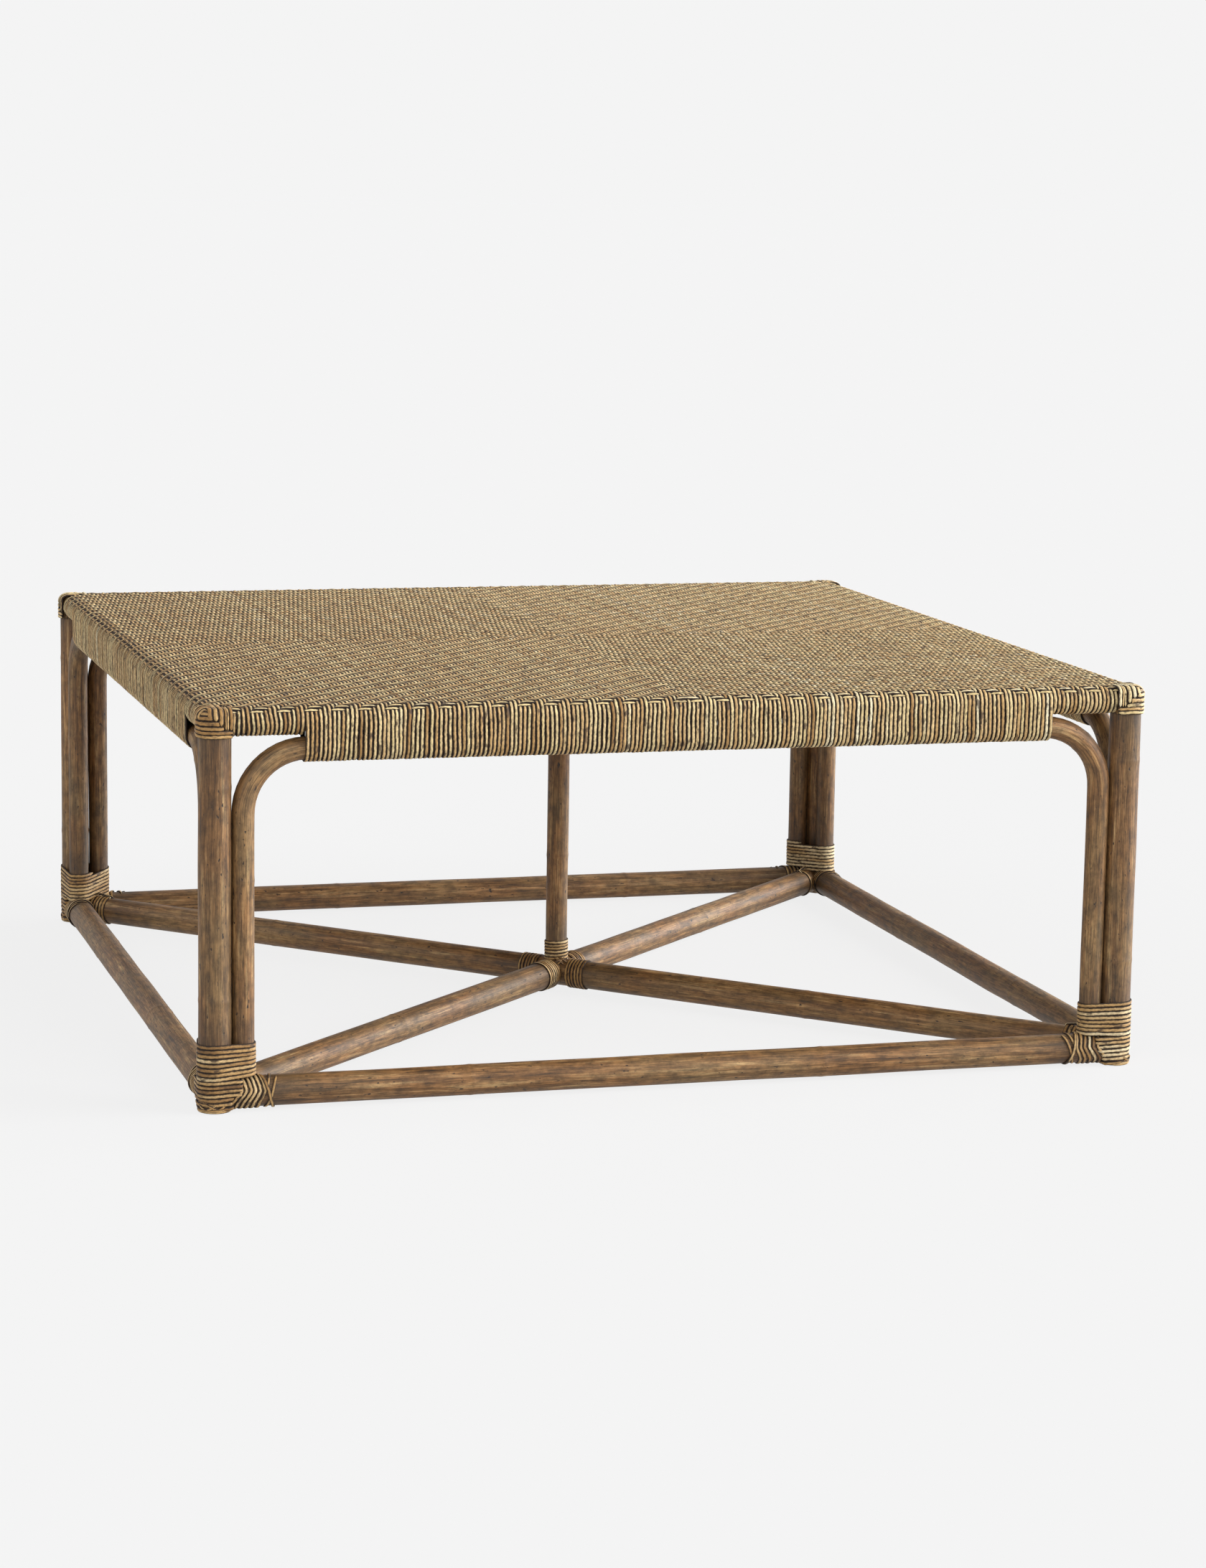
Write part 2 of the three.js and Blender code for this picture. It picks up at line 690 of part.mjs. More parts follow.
function sideGroup({ name, half, offset, quarterTurns, ends }) {
  const along = new THREE.Group();
  along.add(
    mesh(`stretcher_${name}`, stretcher(half), POLE_FINISH),
    mesh(`arch_${name}`, arch(half), POLE_FINISH),
    mesh(`rail_${name}`, rail(half), POLE_FINISH),
    mesh(`apron_${name}`, apronWrap(half), WEAVE_FINISH),
    placedStretcherBinding(`stretcher_binding_${name}_${ends[0]}`, -1, half),
    placedStretcherBinding(`stretcher_binding_${name}_${ends[1]}`, 1, half),
  );
  along.position.y = -offset;
  const group = new THREE.Group();
  group.add(along);
  group.rotation.z = (quarterTurns * Math.PI) / 2;
  return group;
}

function middleGroup() {
  const group = new THREE.Group();
  group.add(
    mesh('diagonal_through', throughDiagonal(), POLE_FINISH),
    mesh('diagonal_half_front', halfDiagonal(-1), POLE_FINISH),
    mesh('diagonal_half_back', halfDiagonal(1), POLE_FINISH),
    mesh('centre_post', centrePost(), POLE_FINISH),
    mesh('post_binding', postBinding('post_binding'), CANE_FINISH),
  );
  CORNERS.forEach(({ name, x, y }) => {
    const title = `arm_binding_${name}`;
    const piece = mesh(title, armBinding(title).rotateY(Math.PI / 2), CANE_FINISH);
    piece.position.z = diagonalZ;
    piece.rotation.z = Math.atan2(y, x);
    group.add(piece);
  });
  return group;
}

function topGroup() {
  const group = new THREE.Group();
  group.add(
    mesh('woven_top', wovenTop(), WEAVE_FINISH),
    mesh('deck', deck(), BOARD_FINISH),
    mesh('cross_rail_long', crossRailLong(), POLE_FINISH),
    mesh('cross_rail_front', crossRailHalf(-1), POLE_FINISH),
    mesh('cross_rail_back', crossRailHalf(1), POLE_FINISH),
  );
  return group;
}

const table = new THREE.Group();
table.add(...CORNERS.map(cornerGroup), ...SIDES.map(sideGroup), middleGroup(), topGroup());

export default table;
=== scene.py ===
"""Square rattan coffee table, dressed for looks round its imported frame.

Sizes are written in millimetres, in the frame of the solids: the floor is z = 0, the front looks along -Y.
Shapes are worked out as whole arrays and turned to metres when a piece is made.
"""

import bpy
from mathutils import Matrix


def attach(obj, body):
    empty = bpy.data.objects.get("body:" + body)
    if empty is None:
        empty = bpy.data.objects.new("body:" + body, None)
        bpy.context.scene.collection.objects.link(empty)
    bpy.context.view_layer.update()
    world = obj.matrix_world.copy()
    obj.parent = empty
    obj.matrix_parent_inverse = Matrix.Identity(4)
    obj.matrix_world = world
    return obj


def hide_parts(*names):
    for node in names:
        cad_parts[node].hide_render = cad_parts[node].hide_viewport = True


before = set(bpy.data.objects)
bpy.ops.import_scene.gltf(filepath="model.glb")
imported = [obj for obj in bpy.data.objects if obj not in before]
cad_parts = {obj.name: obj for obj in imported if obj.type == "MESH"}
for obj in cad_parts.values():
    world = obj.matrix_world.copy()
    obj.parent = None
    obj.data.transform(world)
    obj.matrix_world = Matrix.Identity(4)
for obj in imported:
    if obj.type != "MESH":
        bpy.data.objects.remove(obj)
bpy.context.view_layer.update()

import logging
import math
from dataclasses import dataclass
from enum import Enum

import bpy
import numpy as np
from mathutils import Matrix

LOG = logging.getLogger("rattan_table")
Tree = bpy.types.NodeTree
Socket = bpy.types.NodeSocket
Followed = tuple[bpy.types.Material, Tree, Socket, Socket | float, Socket | float]
Route = tuple[np.ndarray, np.ndarray]
MM = 0.001
X, Y, Z = np.eye(3)

LEG_AXIS = 513.0
LEG_RADIUS = 17.5
LEG_TOP = 428.5
STRETCHER_RADIUS = 16.5
STRETCHER_Z = 19.1
ARCH_RADIUS = 12.2
ARCH_AXIS = 483.1
RAIL_Z = 416.0
RAIL_WRAP_RADIUS = 16.0
CROWN_Z = 386.2
CROWN_WRAP_RADIUS = 15.3
POST_RADIUS = 13.0
TABLE_TOP = 432.0
LEG = np.array([-LEG_AXIS, -LEG_AXIS, 0.0])
REST = 0.1  # the gap at which a strand lies on its pole


class Quarter(Enum):
    """One of four quarters of the table, numbered by quarter turns, counter-clockwise from above."""

    @property
    def label(self) -> str:
        """Its name in the names of the solids."""
        return self.name.lower()

    def turn(self, points: np.ndarray) -> np.ndarray:
        """Points of the first quarter, carried to this one: x' = x cos - y sin, y' = x sin + y cos.

        Args:
            points: an array whose last axis is x, y, z.

        Returns:
            The turned points.
        """
        cosine, sine = ((1, 0), (0, 1), (-1, 0), (0, -1))[self.value]
        x, y, z = points[..., 0], points[..., 1], points[..., 2]
        return np.stack([x * cosine - y * sine, x * sine + y * cosine, z], axis=-1)


class Corner(Quarter):
    """A corner of the table."""

    FRONT_LEFT = 0
    FRONT_RIGHT = 1
    BACK_RIGHT = 2
    BACK_LEFT = 3


class Side(Quarter):
    """A side of the table."""

    FRONT = 0
    RIGHT = 1
    BACK = 2
    LEFT = 3

    @property
    def ends(self) -> tuple[str, str]:
        """The names of the side's two ends, left one first as seen from outside."""
        return (("left", "right"), ("front", "back"), ("right", "left"), ("back", "front"))[self.value]


class Weft(Enum):
    """The two families of strands in the top."""

    ALONG_X = "along_x"
    ALONG_Y = "along_y"


def linear(code: str) -> tuple[float, float, float, float]:
    """The linear colour of an sRGB hex value.

    Args:
        code: six hex digits.

    Returns:
        Red, green, blue and an alpha of one.
    """
    parts = [int(code[at:at + 2], 16) / 255 for at in (0, 2, 4)]
    red, green, blue = (p / 12.92 if p <= 0.04045 else ((p + 0.055) / 1.055) ** 2.4 for p in parts)
    return (red, green, blue, 1.0)


def add_node(tree: Tree, kind: str, inputs: dict | None = None, out: int | str = 0,
             **settings: object) -> Socket | None:
    """Adds a node with its settings, and fills or links its inputs.

    Args:
        tree: the material's node tree.
        kind: the node's type name, without the word that all of them begin with.
        inputs: values, hex colours or output sockets, by the name or number of the input.
        out: the name or number of the output that is wanted.
        settings: the node's own settings; stops gives the colours of a ramp.

    Returns:
        The wanted output, if the node has any.
    """
    made = tree.nodes.new("ShaderNode" + kind)
    for stop, (place, colour) in enumerate(settings.pop("stops", ())):
        element = made.color_ramp.elements[stop] if stop < 2 else made.color_ramp.elements.new(place)
        element.position, element.color = place, linear(colour)
    for key, value in settings.items():
        setattr(made, key, value)
    for key, value in (inputs or {}).items():
        if isinstance(value, Socket):
            tree.links.new(value, made.inputs[key])
        else:
            made.inputs[key].default_value = linear(value) if isinstance(value, str) else value
    return made.outputs[out] if made.outputs else None


def new_material(name: str, by_object: bool = False) -> Followed:
    """A material that has nothing yet but what its patterns follow.

    Args:
        name: its name.
        by_object: True for a plain solid, which has Object coordinates and neither tone nor groove.

    Returns:
        The material, its node tree, and the grain, tone and groove that a carried section brings with it.
    """
    made = bpy.data.materials.new(name)
    made.use_nodes = True
    tree = made.node_tree
    tree.nodes.clear()
    if by_object:
        return made, tree, add_node(tree, "TexCoord", out="Object"), 0.0, 0.0
    return made, tree, *(add_node(tree, "Attribute", out=out, attribute_name=label)
                         for label, out in (("grain", "Vector"), ("tone", "Fac"), ("groove", "Fac")))


def cells(across_mm: float, along_mm: float) -> tuple[float, float, float]:
    """Cells to a metre along x, y and z of a pattern that is stretched along a piece."""
    return (1 / (across_mm * MM), 1 / (across_mm * MM), 1 / (along_mm * MM))


def grown(tree: Tree, place: Socket, rows: tuple[tuple, ...]) -> list[Socket]:
    """The noise patterns of a finish, each with its own cells.

    Args:
        tree: the material's node tree.
        place: the coordinates that they follow.
        rows: for each pattern the cells to a metre along x, y and z, its detail and its roughness.

    Returns:
        Their values.
    """
    values = []
    for scale, detail, rough in rows:
        spot = add_node(tree, "Mapping", {"Vector": place, "Scale": scale})
        values.append(add_node(tree, "TexNoise", {"Vector": spot, "Scale": 1.0, "Detail": detail,
                                                  "Roughness": rough}))
    return values


def shaded(tree: Tree, colour: Socket, rows: tuple[tuple, ...]) -> Socket:
    """A colour that is multiplied by patterns, one after the other.

    Args:
        tree: the material's node tree.
        colour: the plain colour.
        rows: for each pattern its value, and the ends of its range with the two factors that they give.

    Returns:
        The shaded colour.
    """
    for value, (low, high, first, last) in rows:
        factor = add_node(tree, "MapRange", {"Value": value, "From Min": low, "From Max": high,
                                             "To Min": first, "To Max": last})
        colour = add_node(tree, "Mix", {0: 1.0, 6: colour, 7: factor}, 2, data_type="RGBA",
                          blend_type="MULTIPLY")
    return colour


def stained(tree: Tree, colour: Socket, value: Socket, spread: tuple[float, float, float],
            stain: str) -> Socket:
    """A colour under a stain, which is absent where a value is low and has its full share where it is high.

    Args:
        tree: the material's node tree.
        colour: the colour below.
        value: the value that spreads the stain.
        spread: where it starts, where it is full, and its full share.
        stain: its hex colour.

    Returns:
        The stained colour.
    """
    low, high, most = spread
    share = add_node(tree, "MapRange", {"Value": value, "From Min": low, "From Max": high, "To Max": most})
    return add_node(tree, "Mix", {0: share, 6: colour, 7: stain}, 2, data_type="RGBA")


def coated(tree: Tree, colour: Socket, rough: Socket | float, height: Socket,
           relief: tuple[float, float]) -> None:
    """Lays a colour, its roughness and its relief under a coat and shows them.

    Args:
        tree: the material's node tree.
        colour: the base colour.
        rough: the roughness.
        height: the height of the relief.
        relief: how much of it shows, and how deep it is in mm.
    """
    strength, depth_mm = relief
    bump = add_node(tree, "Bump", {"Strength": strength, "Distance": depth_mm * MM, "Height": height})
    shader = add_node(tree, "BsdfPrincipled", {"Base Color": colour, "Roughness": rough, "Normal": bump,
                                               "IOR": 1.5})
    add_node(tree, "OutputMaterial", {"Surface": shader})


def shown_share(tree: Tree, share: float) -> Socket:
    """How much of a backdrop's own colour shows, which is none for the rays that carry light.

    Args:
        tree: the node tree of the backdrop's material or of the world.
        share: the share for camera, gloss and glass.

    Returns:
        The share by kind of ray.
    """
    camera, gloss, glass = (add_node(tree, "LightPath", out=f"Is {ray} Ray")
                            for ray in ("Camera", "Glossy", "Transmission"))
    mirrored = add_node(tree, "Math", {0: gloss, 1: glass}, operation="MAXIMUM")
    seen = add_node(tree, "Math", {0: camera, 1: mirrored}, operation="MAXIMUM")
    return add_node(tree, "Math", {0: seen, 1: share}, operation="MULTIPLY")


@dataclass(frozen=True)
class StainedPole:
    """Rattan pole, skinned, stained grey-brown and rubbed back, under a satin lacquer.

    The eye sees dark fibres along the pole, warm and grey patches, pin holes and a darker ring at each node.
    """

    name: str = "stained_rattan_pole"
    fibre_mm: tuple[float, float] = (0.9, 26.0)
    streak_mm: tuple[float, float] = (4.5, 90.0)
    patch_mm: tuple[float, float] = (45.0, 112.5)
    blot_mm: tuple[float, float] = (9.0, 16.2)
    pin_cells: tuple[float, float, float] = (300.0, 300.0, 130.0)
    fibre_shade: tuple[float, float, float, float] = (0.36, 0.6, 0.44, 1.18)
    blot_shade: tuple[float, float, float, float] = (0.36, 0.6, 0.54, 1.18)
    tone_shade: tuple[float, float, float, float] = (0.0, 1.0, 0.8, 1.1)
    streaks: tuple[tuple[float, str], ...] = ((0.28, "38240F"), (0.44, "7A552E"), (0.56, "946C42"),
                                              (0.74, "C4A371"))
    grey: str = "8A724C"
    grey_spread: tuple[float, float, float] = (0.42, 0.66, 0.5)
    node: str = "2A1D12"
    pin_edge: tuple[float, float] = (0.7, 0.75)
    roughness: tuple[float, float] = (0.7, 0.46)
    relief: tuple[float, float] = (0.35, 0.6)
    by_object: bool = False

    def material(self) -> bpy.types.Material:
        """The node material of the poles.

        Returns:
            A material that reads the carried attributes, or Object coordinates for a plain solid.
        """
        made, tree, place, tone, groove = new_material(self.name, self.by_object)
        fibre, streak, patch, blot, hole = grown(tree, place, (
            (cells(*self.fibre_mm), 5.0, 0.62), (cells(*self.streak_mm), 4.0, 0.6),
            (cells(*self.patch_mm), 3.0, 0.55), (cells(*self.blot_mm), 5.0, 0.7),
            (self.pin_cells, 1.0, 0.5)))
        body = add_node(tree, "ValToRGB", {0: streak}, stops=self.streaks)
        body = stained(tree, body, patch, self.grey_spread, self.grey)
        body = shaded(tree, body, ((fibre, self.fibre_shade), (blot, self.blot_shade),
                                   (tone, self.tone_shade)))
        pin = add_node(tree, "MapRange", {"Value": hole, "From Min": self.pin_edge[0],
                                          "From Max": self.pin_edge[1]})
        mark = add_node(tree, "Math", {0: pin, 1: groove}, operation="MAXIMUM", use_clamp=True)
        body = add_node(tree, "Mix", {0: mark, 6: body, 7: self.node}, 2, data_type="RGBA")
        height = add_node(tree, "Math", {0: fibre, 1: mark}, operation="SUBTRACT")
        rough = add_node(tree, "MapRange", {"Value": fibre, "To Min": self.roughness[0],
                                            "To Max": self.roughness[1]})
        coated(tree, body, rough, height, self.relief)
        return made


@dataclass(frozen=True)
class RubbedCane:
    """Rattan core or cane peel, split and smoked; its grooves are darkened with painted shade.

    The eye sees mottled strands in straw, tan and a paler greenish tone side by side, brown node marks, and
    dark lines of painted shade between them, darkest on the flanks and undersides.
    """

    name: str
    tones: tuple[tuple[float, str], ...]
    # the near-black colour of the painted shade in the grooves
    groove: str = "23150A"
    mark: str = "4A3420"
    mark_spread: tuple[float, float, float] = (0.6, 0.69, 0.85)
    fibre_mm: tuple[float, float] = (0.55, 26.0)
    slow_cells: tuple[float, float, float] = (60.0, 60.0, 22.0)
    mottle_cells: tuple[float, float, float] = (520.0, 520.0, 230.0)
    mark_cells: tuple[float, float, float] = (150.0, 150.0, 85.0)
    fibre_shade: tuple[float, float, float, float] = (0.3, 0.62, 0.7, 1.08)
    mottle_shade: tuple[float, float, float, float] = (0.36, 0.58, 0.66, 1.08)
    tone_change: float = 0.6
    # how the mottle makes the painted shade in the grooves uneven
    shade_unevenness: tuple[float, float] = (-0.8, 0.39)
    groove_edge: tuple[float, float] = (0.34, 0.66)
    roughness: tuple[float, float] = (0.6, 0.85)
    relief: tuple[float, float] = (0.3, 0.4)

    def material(self) -> bpy.types.Material:
        """The node material of the strands.

        Returns:
            A material that reads the carried attributes of its piece.
        """
        made, tree, place, tone, groove = new_material(self.name)
        fibre, slow, mottle, spot = grown(tree, place, (
            (cells(*self.fibre_mm), 3.0, 0.6), (self.slow_cells, 2.0, 0.5), (self.mottle_cells, 4.0, 0.65),
            (self.mark_cells, 2.0, 0.5)))
        change = add_node(tree, "Math", {0: slow, 1: self.tone_change, 2: -self.tone_change / 2},
                          operation="MULTIPLY_ADD")
        mixed = add_node(tree, "Math", {0: tone, 1: change}, operation="ADD", use_clamp=True)
        body = add_node(tree, "ValToRGB", {0: mixed}, stops=self.tones)
        body = shaded(tree, body, ((fibre, self.fibre_shade), (mottle, self.mottle_shade)))
        body = stained(tree, body, spot, self.mark_spread, self.mark)
        # painted shade: the groove depth, made uneven by the mottle, draws the colour towards the groove
        # colour
        uneven_shade = add_node(tree, "Math", {0: mottle, 1: self.shade_unevenness[0], 2: self.shade_unevenness[1]},
                        operation="MULTIPLY_ADD")
        edge = add_node(tree, "Math", {0: groove, 1: uneven_shade}, operation="ADD")
        dark = add_node(tree, "MapRange", {"Value": edge, "From Min": self.groove_edge[0],
                                           "From Max": self.groove_edge[1]})
        body = add_node(tree, "Mix", {0: dark, 6: body, 7: self.groove}, 2, data_type="RGBA")
        rough = add_node(tree, "MapRange", {"Value": dark, "To Min": self.roughness[0],
                                            "To Max": self.roughness[1]})
        coated(tree, body, rough, fibre, self.relief)
        return made


@dataclass(frozen=True)
class RawPlywood:
    """Plywood of a light tropical wood, left raw: a pale face with long soft brown growth lines."""

    name: str = "raw_plywood"
    rings: tuple[tuple[float, str], ...] = ((0.36, "8F6E45"), (0.56, "B8996B"))
    ring_mm: float = 14.0
    length_mm: float = 260.0
    roughness: float = 0.72
    relief: tuple[float, float] = (0.2, 0.5)

    def material(self) -> bpy.types.Material:
        """The node material of the deck.

        Returns:
            A material in Object coordinates.
        """
        made, tree, place, *_ = new_material(self.name, by_object=True)
        across, _, along = cells(self.ring_mm, self.length_mm)
        spot = add_node(tree, "Mapping", {"Vector": place, "Scale": (along, across, across)})
        ring = add_node(tree, "TexNoise", {"Vector": spot, "Scale": 1.0, "Detail": 6.0, "Roughness": 0.6,
                                           "Distortion": 0.4})
        body = add_node(tree, "ValToRGB", {0: ring}, stops=self.rings)
        coated(tree, body, self.roughness, ring, self.relief)
        return made


@dataclass(frozen=True)
class PaintedFloor:
    """Matt painted studio floor, pale grey, that takes the table's soft shadow.

    The camera sees most of it in a plain colour, so that the shadow stays as faint as in the photograph.
    """

    name: str = "painted_floor"
    colour: str = "C8C8C8"
    shown: str = "FAFAFA"
    share: float = 0.86
    mottle_cells: float = 3.0
    roughness: tuple[float, float] = (0.85, 0.95)

    def material(self) -> bpy.types.Material:
        """The node material of the floor.

        Returns:
            A material with a paint mottle too faint to see from afar.
        """
        made, tree, place, *_ = new_material(self.name, by_object=True)
        mottle = add_node(tree, "TexNoise", {"Vector": place, "Scale": self.mottle_cells, "Detail": 2.0})
        rough = add_node(tree, "MapRange", {"Value": mottle, "To Min": self.roughness[0],
                                            "To Max": self.roughness[1]})
        shader = add_node(tree, "BsdfPrincipled", {"Base Color": self.colour, "Roughness": rough,
                                                   "Specular IOR Level": 0.0})
        plain = add_node(tree, "Emission", {"Color": self.shown, "Strength": 1.0})
        mixed = add_node(tree, "MixShader", {0: shown_share(tree, self.share), 1: shader, 2: plain})
        add_node(tree, "OutputMaterial", {"Surface": mixed})
        return made


POLE_FINISH = StainedPole()
RAIL_FINISH = StainedPole(name="stained_rattan_rail", by_object=True, streak_mm=(4.5, 60.0))
CANE_FINISH = RubbedCane(
    name="cane_peel_binding",
    tones=((0.0, "6E4C24"), (0.25, "9E7642"), (0.5, "BD965E"), (0.75, "D4B37F"), (1.0, "EAD4A8")),
    mark="3B2817",
    groove_edge=(0.42, 0.82),
)
CORE_FINISH = RubbedCane(
    name="smoked_rattan_core",
    tones=((0.0, "AA7F46"), (0.2, "D0A76B"), (0.4, "E4C087"), (0.6, "F4DAA2"), (0.8, "E4C88E"),
           (1.0, "FEEFC8")),
)
DECK_FINISH = RawPlywood()
FLOOR_FINISH = PaintedFloor()


@dataclass
class Run:
    """Rings of one or many strands or poles in a row, with what their finish reads."""

    rings: np.ndarray
    last: np.ndarray
    grain: np.ndarray
    tone: np.ndarray
    groove: np.ndarray


def unit(vectors: np.ndarray) -> np.ndarray:
    """Vectors made one long."""
    return vectors / np.maximum(np.linalg.norm(vectors, axis=-1, keepdims=True), 1e-9)


def spokes(angle: np.ndarray) -> np.ndarray:
    """Rows of cos(a) and sin(a)."""
    return np.stack([np.cos(angle), np.sin(angle)], axis=1)


def line(begin: np.ndarray, end: np.ndarray) -> np.ndarray:
    """Forty points of a straight path."""
    return begin + np.linspace(0, 1, 40)[:, None] * (end - begin)


def lengths(path: np.ndarray) -> np.ndarray:
    """Length walked along a path at each of its points."""
    return np.concatenate([[0.0], np.cumsum(np.linalg.norm(np.diff(path, axis=0), axis=1))])


def sampled(at: np.ndarray, places: np.ndarray, rows: np.ndarray) -> np.ndarray:
    """Rows that belong to growing places, read in between them."""
    return np.stack([np.interp(at, places, column) for column in rows.T], axis=1)


def carry(path: np.ndarray, outward: np.ndarray, strand: np.ndarray, profile: np.ndarray, wide: np.ndarray,
          high: np.ndarray, tone: np.ndarray, shade_and_marks: np.ndarray) -> Run:
    """A section carried along the paths of one or many strands.

    With T the direction of the path, N the outward vector less its part along T, and B = T x N, a point of a
    ring is path + B * x * wide + N * y * high for each point x, y of the section.

    Args:
        path: points of all strands in a row, in mm.
        outward: a vector per point, away from what carries the strand.
        strand: the strand's number at each point.
        profile: section points x, y and groove depth, counter-clockwise.
        wide: half width at each point.
        high: height scale at each point.
        tone: tone of the strand at each point, from 0 to 1.
        shade_and_marks: what is added to the groove depth at each point: painted shade on strands, node
            marks and stains on poles.

    Returns:
        The rings with their attributes, in metres.
    """
    last = strand != np.roll(strand, -1)
    last[-1] = True
    first = np.roll(last, 1)
    ahead, behind = np.roll(path, -1, axis=0), np.roll(path, 1, axis=0)
    ahead[last], behind[first] = path[last], path[first]
    direction = unit(ahead - behind)
    normal = unit(outward - (outward * direction).sum(axis=1, keepdims=True) * direction)
    across = np.cross(direction, normal)
    x = profile[None, :, 0] * wide[:, None]
    y = profile[None, :, 1] * high[:, None]
    rings = path[:, None, :] + across[:, None, :] * x[..., None] + normal[:, None, :] * y[..., None]
    step = np.linalg.norm(np.diff(path, axis=0, prepend=path[:1]), axis=1)
    step[first] = 0.0
    along = np.cumsum(step) + strand * 137.0
    grain = np.stack([x + strand[:, None] * 31.0, y, np.broadcast_to(along[:, None], x.shape)], axis=-1)
    # the groove attribute is the section's groove depth plus the added painted shade and marks
    return Run(rings * MM, last, grain * MM, tone, profile[None, :, 2] + shade_and_marks[:, None])


def make_piece(name: str, runs: list[Run], finish: bpy.types.Material, nodes: list[str]) -> None:
    """Makes the closed mesh of runs, dressed, riding on the root and standing for its solids.

    The side faces join ring to ring, and each end is closed by one flat face.

    Args:
        name: the piece's name.
        runs: its strands or poles.
        finish: its material.
        nodes: the solids that it replaces.
    """
    corners, starts, smooth = [], [], []
    count = loop_count = 0
    for run in runs:
        rings, sides = run.rings.shape[:2]
        side = np.arange(sides)
        beside = (side + 1) % sides
        lower = np.nonzero(~run.last)[0][:, None]
        quads = np.stack([lower * sides + side, (lower + 1) * sides + side,
                          (lower + 1) * sides + beside, lower * sides + beside], axis=-1)
        caps = np.concatenate([np.nonzero(np.roll(run.last, 1))[0][:, None] * sides + side,
                               np.nonzero(run.last)[0][:, None] * sides + side[::-1]])
        corners += [quads.ravel() + count, caps.ravel() + count]
        starts += [loop_count + 4 * np.arange(quads.size // 4),
                   loop_count + quads.size + sides * np.arange(len(caps))]
        smooth += [np.ones(quads.size // 4, bool), np.zeros(len(caps), bool)]
        count += rings * sides
        loop_count += quads.size + caps.size
    start = np.concatenate(starts).astype(np.int32)
    mesh = bpy.data.meshes.new(name)
    mesh.vertices.add(count)
    points = np.concatenate([run.rings.reshape(-1, 3) for run in runs])
    mesh.vertices.foreach_set("co", points.astype(np.float32).ravel())
    mesh.loops.add(loop_count)
    mesh.loops.foreach_set("vertex_index", np.concatenate(corners).astype(np.int32))
    mesh.polygons.add(len(start))
    mesh.polygons.foreach_set("loop_start", start)
    mesh.update(calc_edges=True)
    mesh.polygons.foreach_set("use_smooth", np.concatenate(smooth))
    for label, kind, key, rows in (
            ("grain", "FLOAT_VECTOR", "vector", [run.grain.reshape(-1, 3) for run in runs]),
            ("tone", "FLOAT", "value", [np.repeat(run.tone, run.rings.shape[1]) for run in runs]),
            ("groove", "FLOAT", "value", [run.groove.ravel() for run in runs])):
        attribute = mesh.attributes.new(label, kind, "POINT")
        attribute.data.foreach_set(key, np.concatenate(rows).astype(np.float32).ravel())
    mesh.validate()
    mesh.materials.append(finish)
    made = bpy.data.objects.new(name, mesh)
    bpy.context.scene.collection.objects.link(made)
    if nodes:
        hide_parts(*nodes)
    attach(made, "root")
    LOG.info("%s: %d faces", name, len(start))


def cane_profile(crown_points: int, keel_points: int, keel: float, fullness: float = 0.8) -> np.ndarray:
    """Section of a half-round strand: a full crown over a shallow keel.

    The crown is x = cos(a), y = sin(a)^f for a from 0 to 180 degrees, and the keel is a flat row below.

    Args:
        crown_points: points from flank to flank.
        keel_points: points of the keel.
        keel: depth of the keel as a share of the crown's height.
        fullness: the power f; a lower one makes a flatter crown with steeper flanks.

    Returns:
        Rows of x, y and groove depth, which is 0 on the crown, 1 at the flanks and 1.3 below; the finish
        darkens by it as painted shade.
    """
    angle = np.linspace(0.0, math.pi, crown_points)
    # the third column is the groove depth: painted shade that grows from the crown to the flanks
    crown = np.stack([np.cos(angle), np.sin(angle) ** fullness, np.abs(np.cos(angle))], axis=1)
    x = np.linspace(-0.7, 0.7, keel_points)
    below = np.stack([x, np.full(keel_points, -keel), np.full(keel_points, 1.3)], axis=1)
    return np.concatenate([crown, below])


def round_profile(sides: int) -> np.ndarray:
    """Section of a pole: a circle x = cos(a), y = sin(a), with no groove."""
    return np.column_stack([spokes(np.arange(sides) * 2 * math.pi / sides), np.zeros(sides)])


def drift(first: np.ndarray, second: np.ndarray | float, seed: int, shortest: float, longest: float,
          waves: int = 6) -> np.ndarray:
    """Smooth unevenness over two coordinates, about from -1 to 1.

    It is a sum of sine waves of first * kx + second * ky + phase, whose lengths, directions and phases are
    drawn from the seed.

    Args:
        first: the first coordinate in mm.
        second: the second one.
        seed: the seed of the draws.
        shortest: the shortest wave.
        longest: the longest wave.
        waves: how many there are.

    Returns:
        The unevenness at each place.
    """
    draw = np.random.default_rng(seed)
    number = 2 * math.pi / draw.uniform(shortest, longest, waves)
    angle = draw.uniform(0, math.pi, waves)
    phase = draw.uniform(0, 2 * math.pi, waves)
    first, second = np.broadcast_arrays(first, second)
    wave = first[..., None] * number * np.cos(angle) + second[..., None] * number * np.sin(angle) + phase
    return np.sin(wave).sum(axis=-1) / math.sqrt(waves * 1.6)


def taut(circles: np.ndarray, towards: np.ndarray) -> np.ndarray:
    """Outline of a strand drawn taut round circles.

    In each direction u the outline's point is c + r * u of the circle c, r that reaches farthest along u.

    Args:
        circles: rows of two coordinates and a radius.
        towards: the directions.

    Returns:
        A point for each direction.
    """
    pick = circles[(towards @ circles[:, :2].T + circles[:, 2]).argmax(axis=1)]
    return pick[:, :2] + pick[:, 2:] * towards


@dataclass
class Loop:
    """A strand's closed outline round circles in plan, taut, counter-clockwise."""

    circles: tuple[tuple[float, float, float], ...]

    def __post_init__(self) -> None:
        """Works out the outline's points, their outward directions and the length walked at each."""
        self.towards = spokes(np.arange(721) * 2 * math.pi / 720)
        self.points = taut(np.array(self.circles), self.towards)
        self.walked = lengths(self.points)

    def walk(self, turn: np.ndarray) -> Route:
        """Points and outward directions after so many turns of the outline."""
        at = np.mod(turn * self.walked[-1], self.walked[-1])
        return sampled(at, self.walked, self.points), unit(sampled(at, self.walked, self.towards))


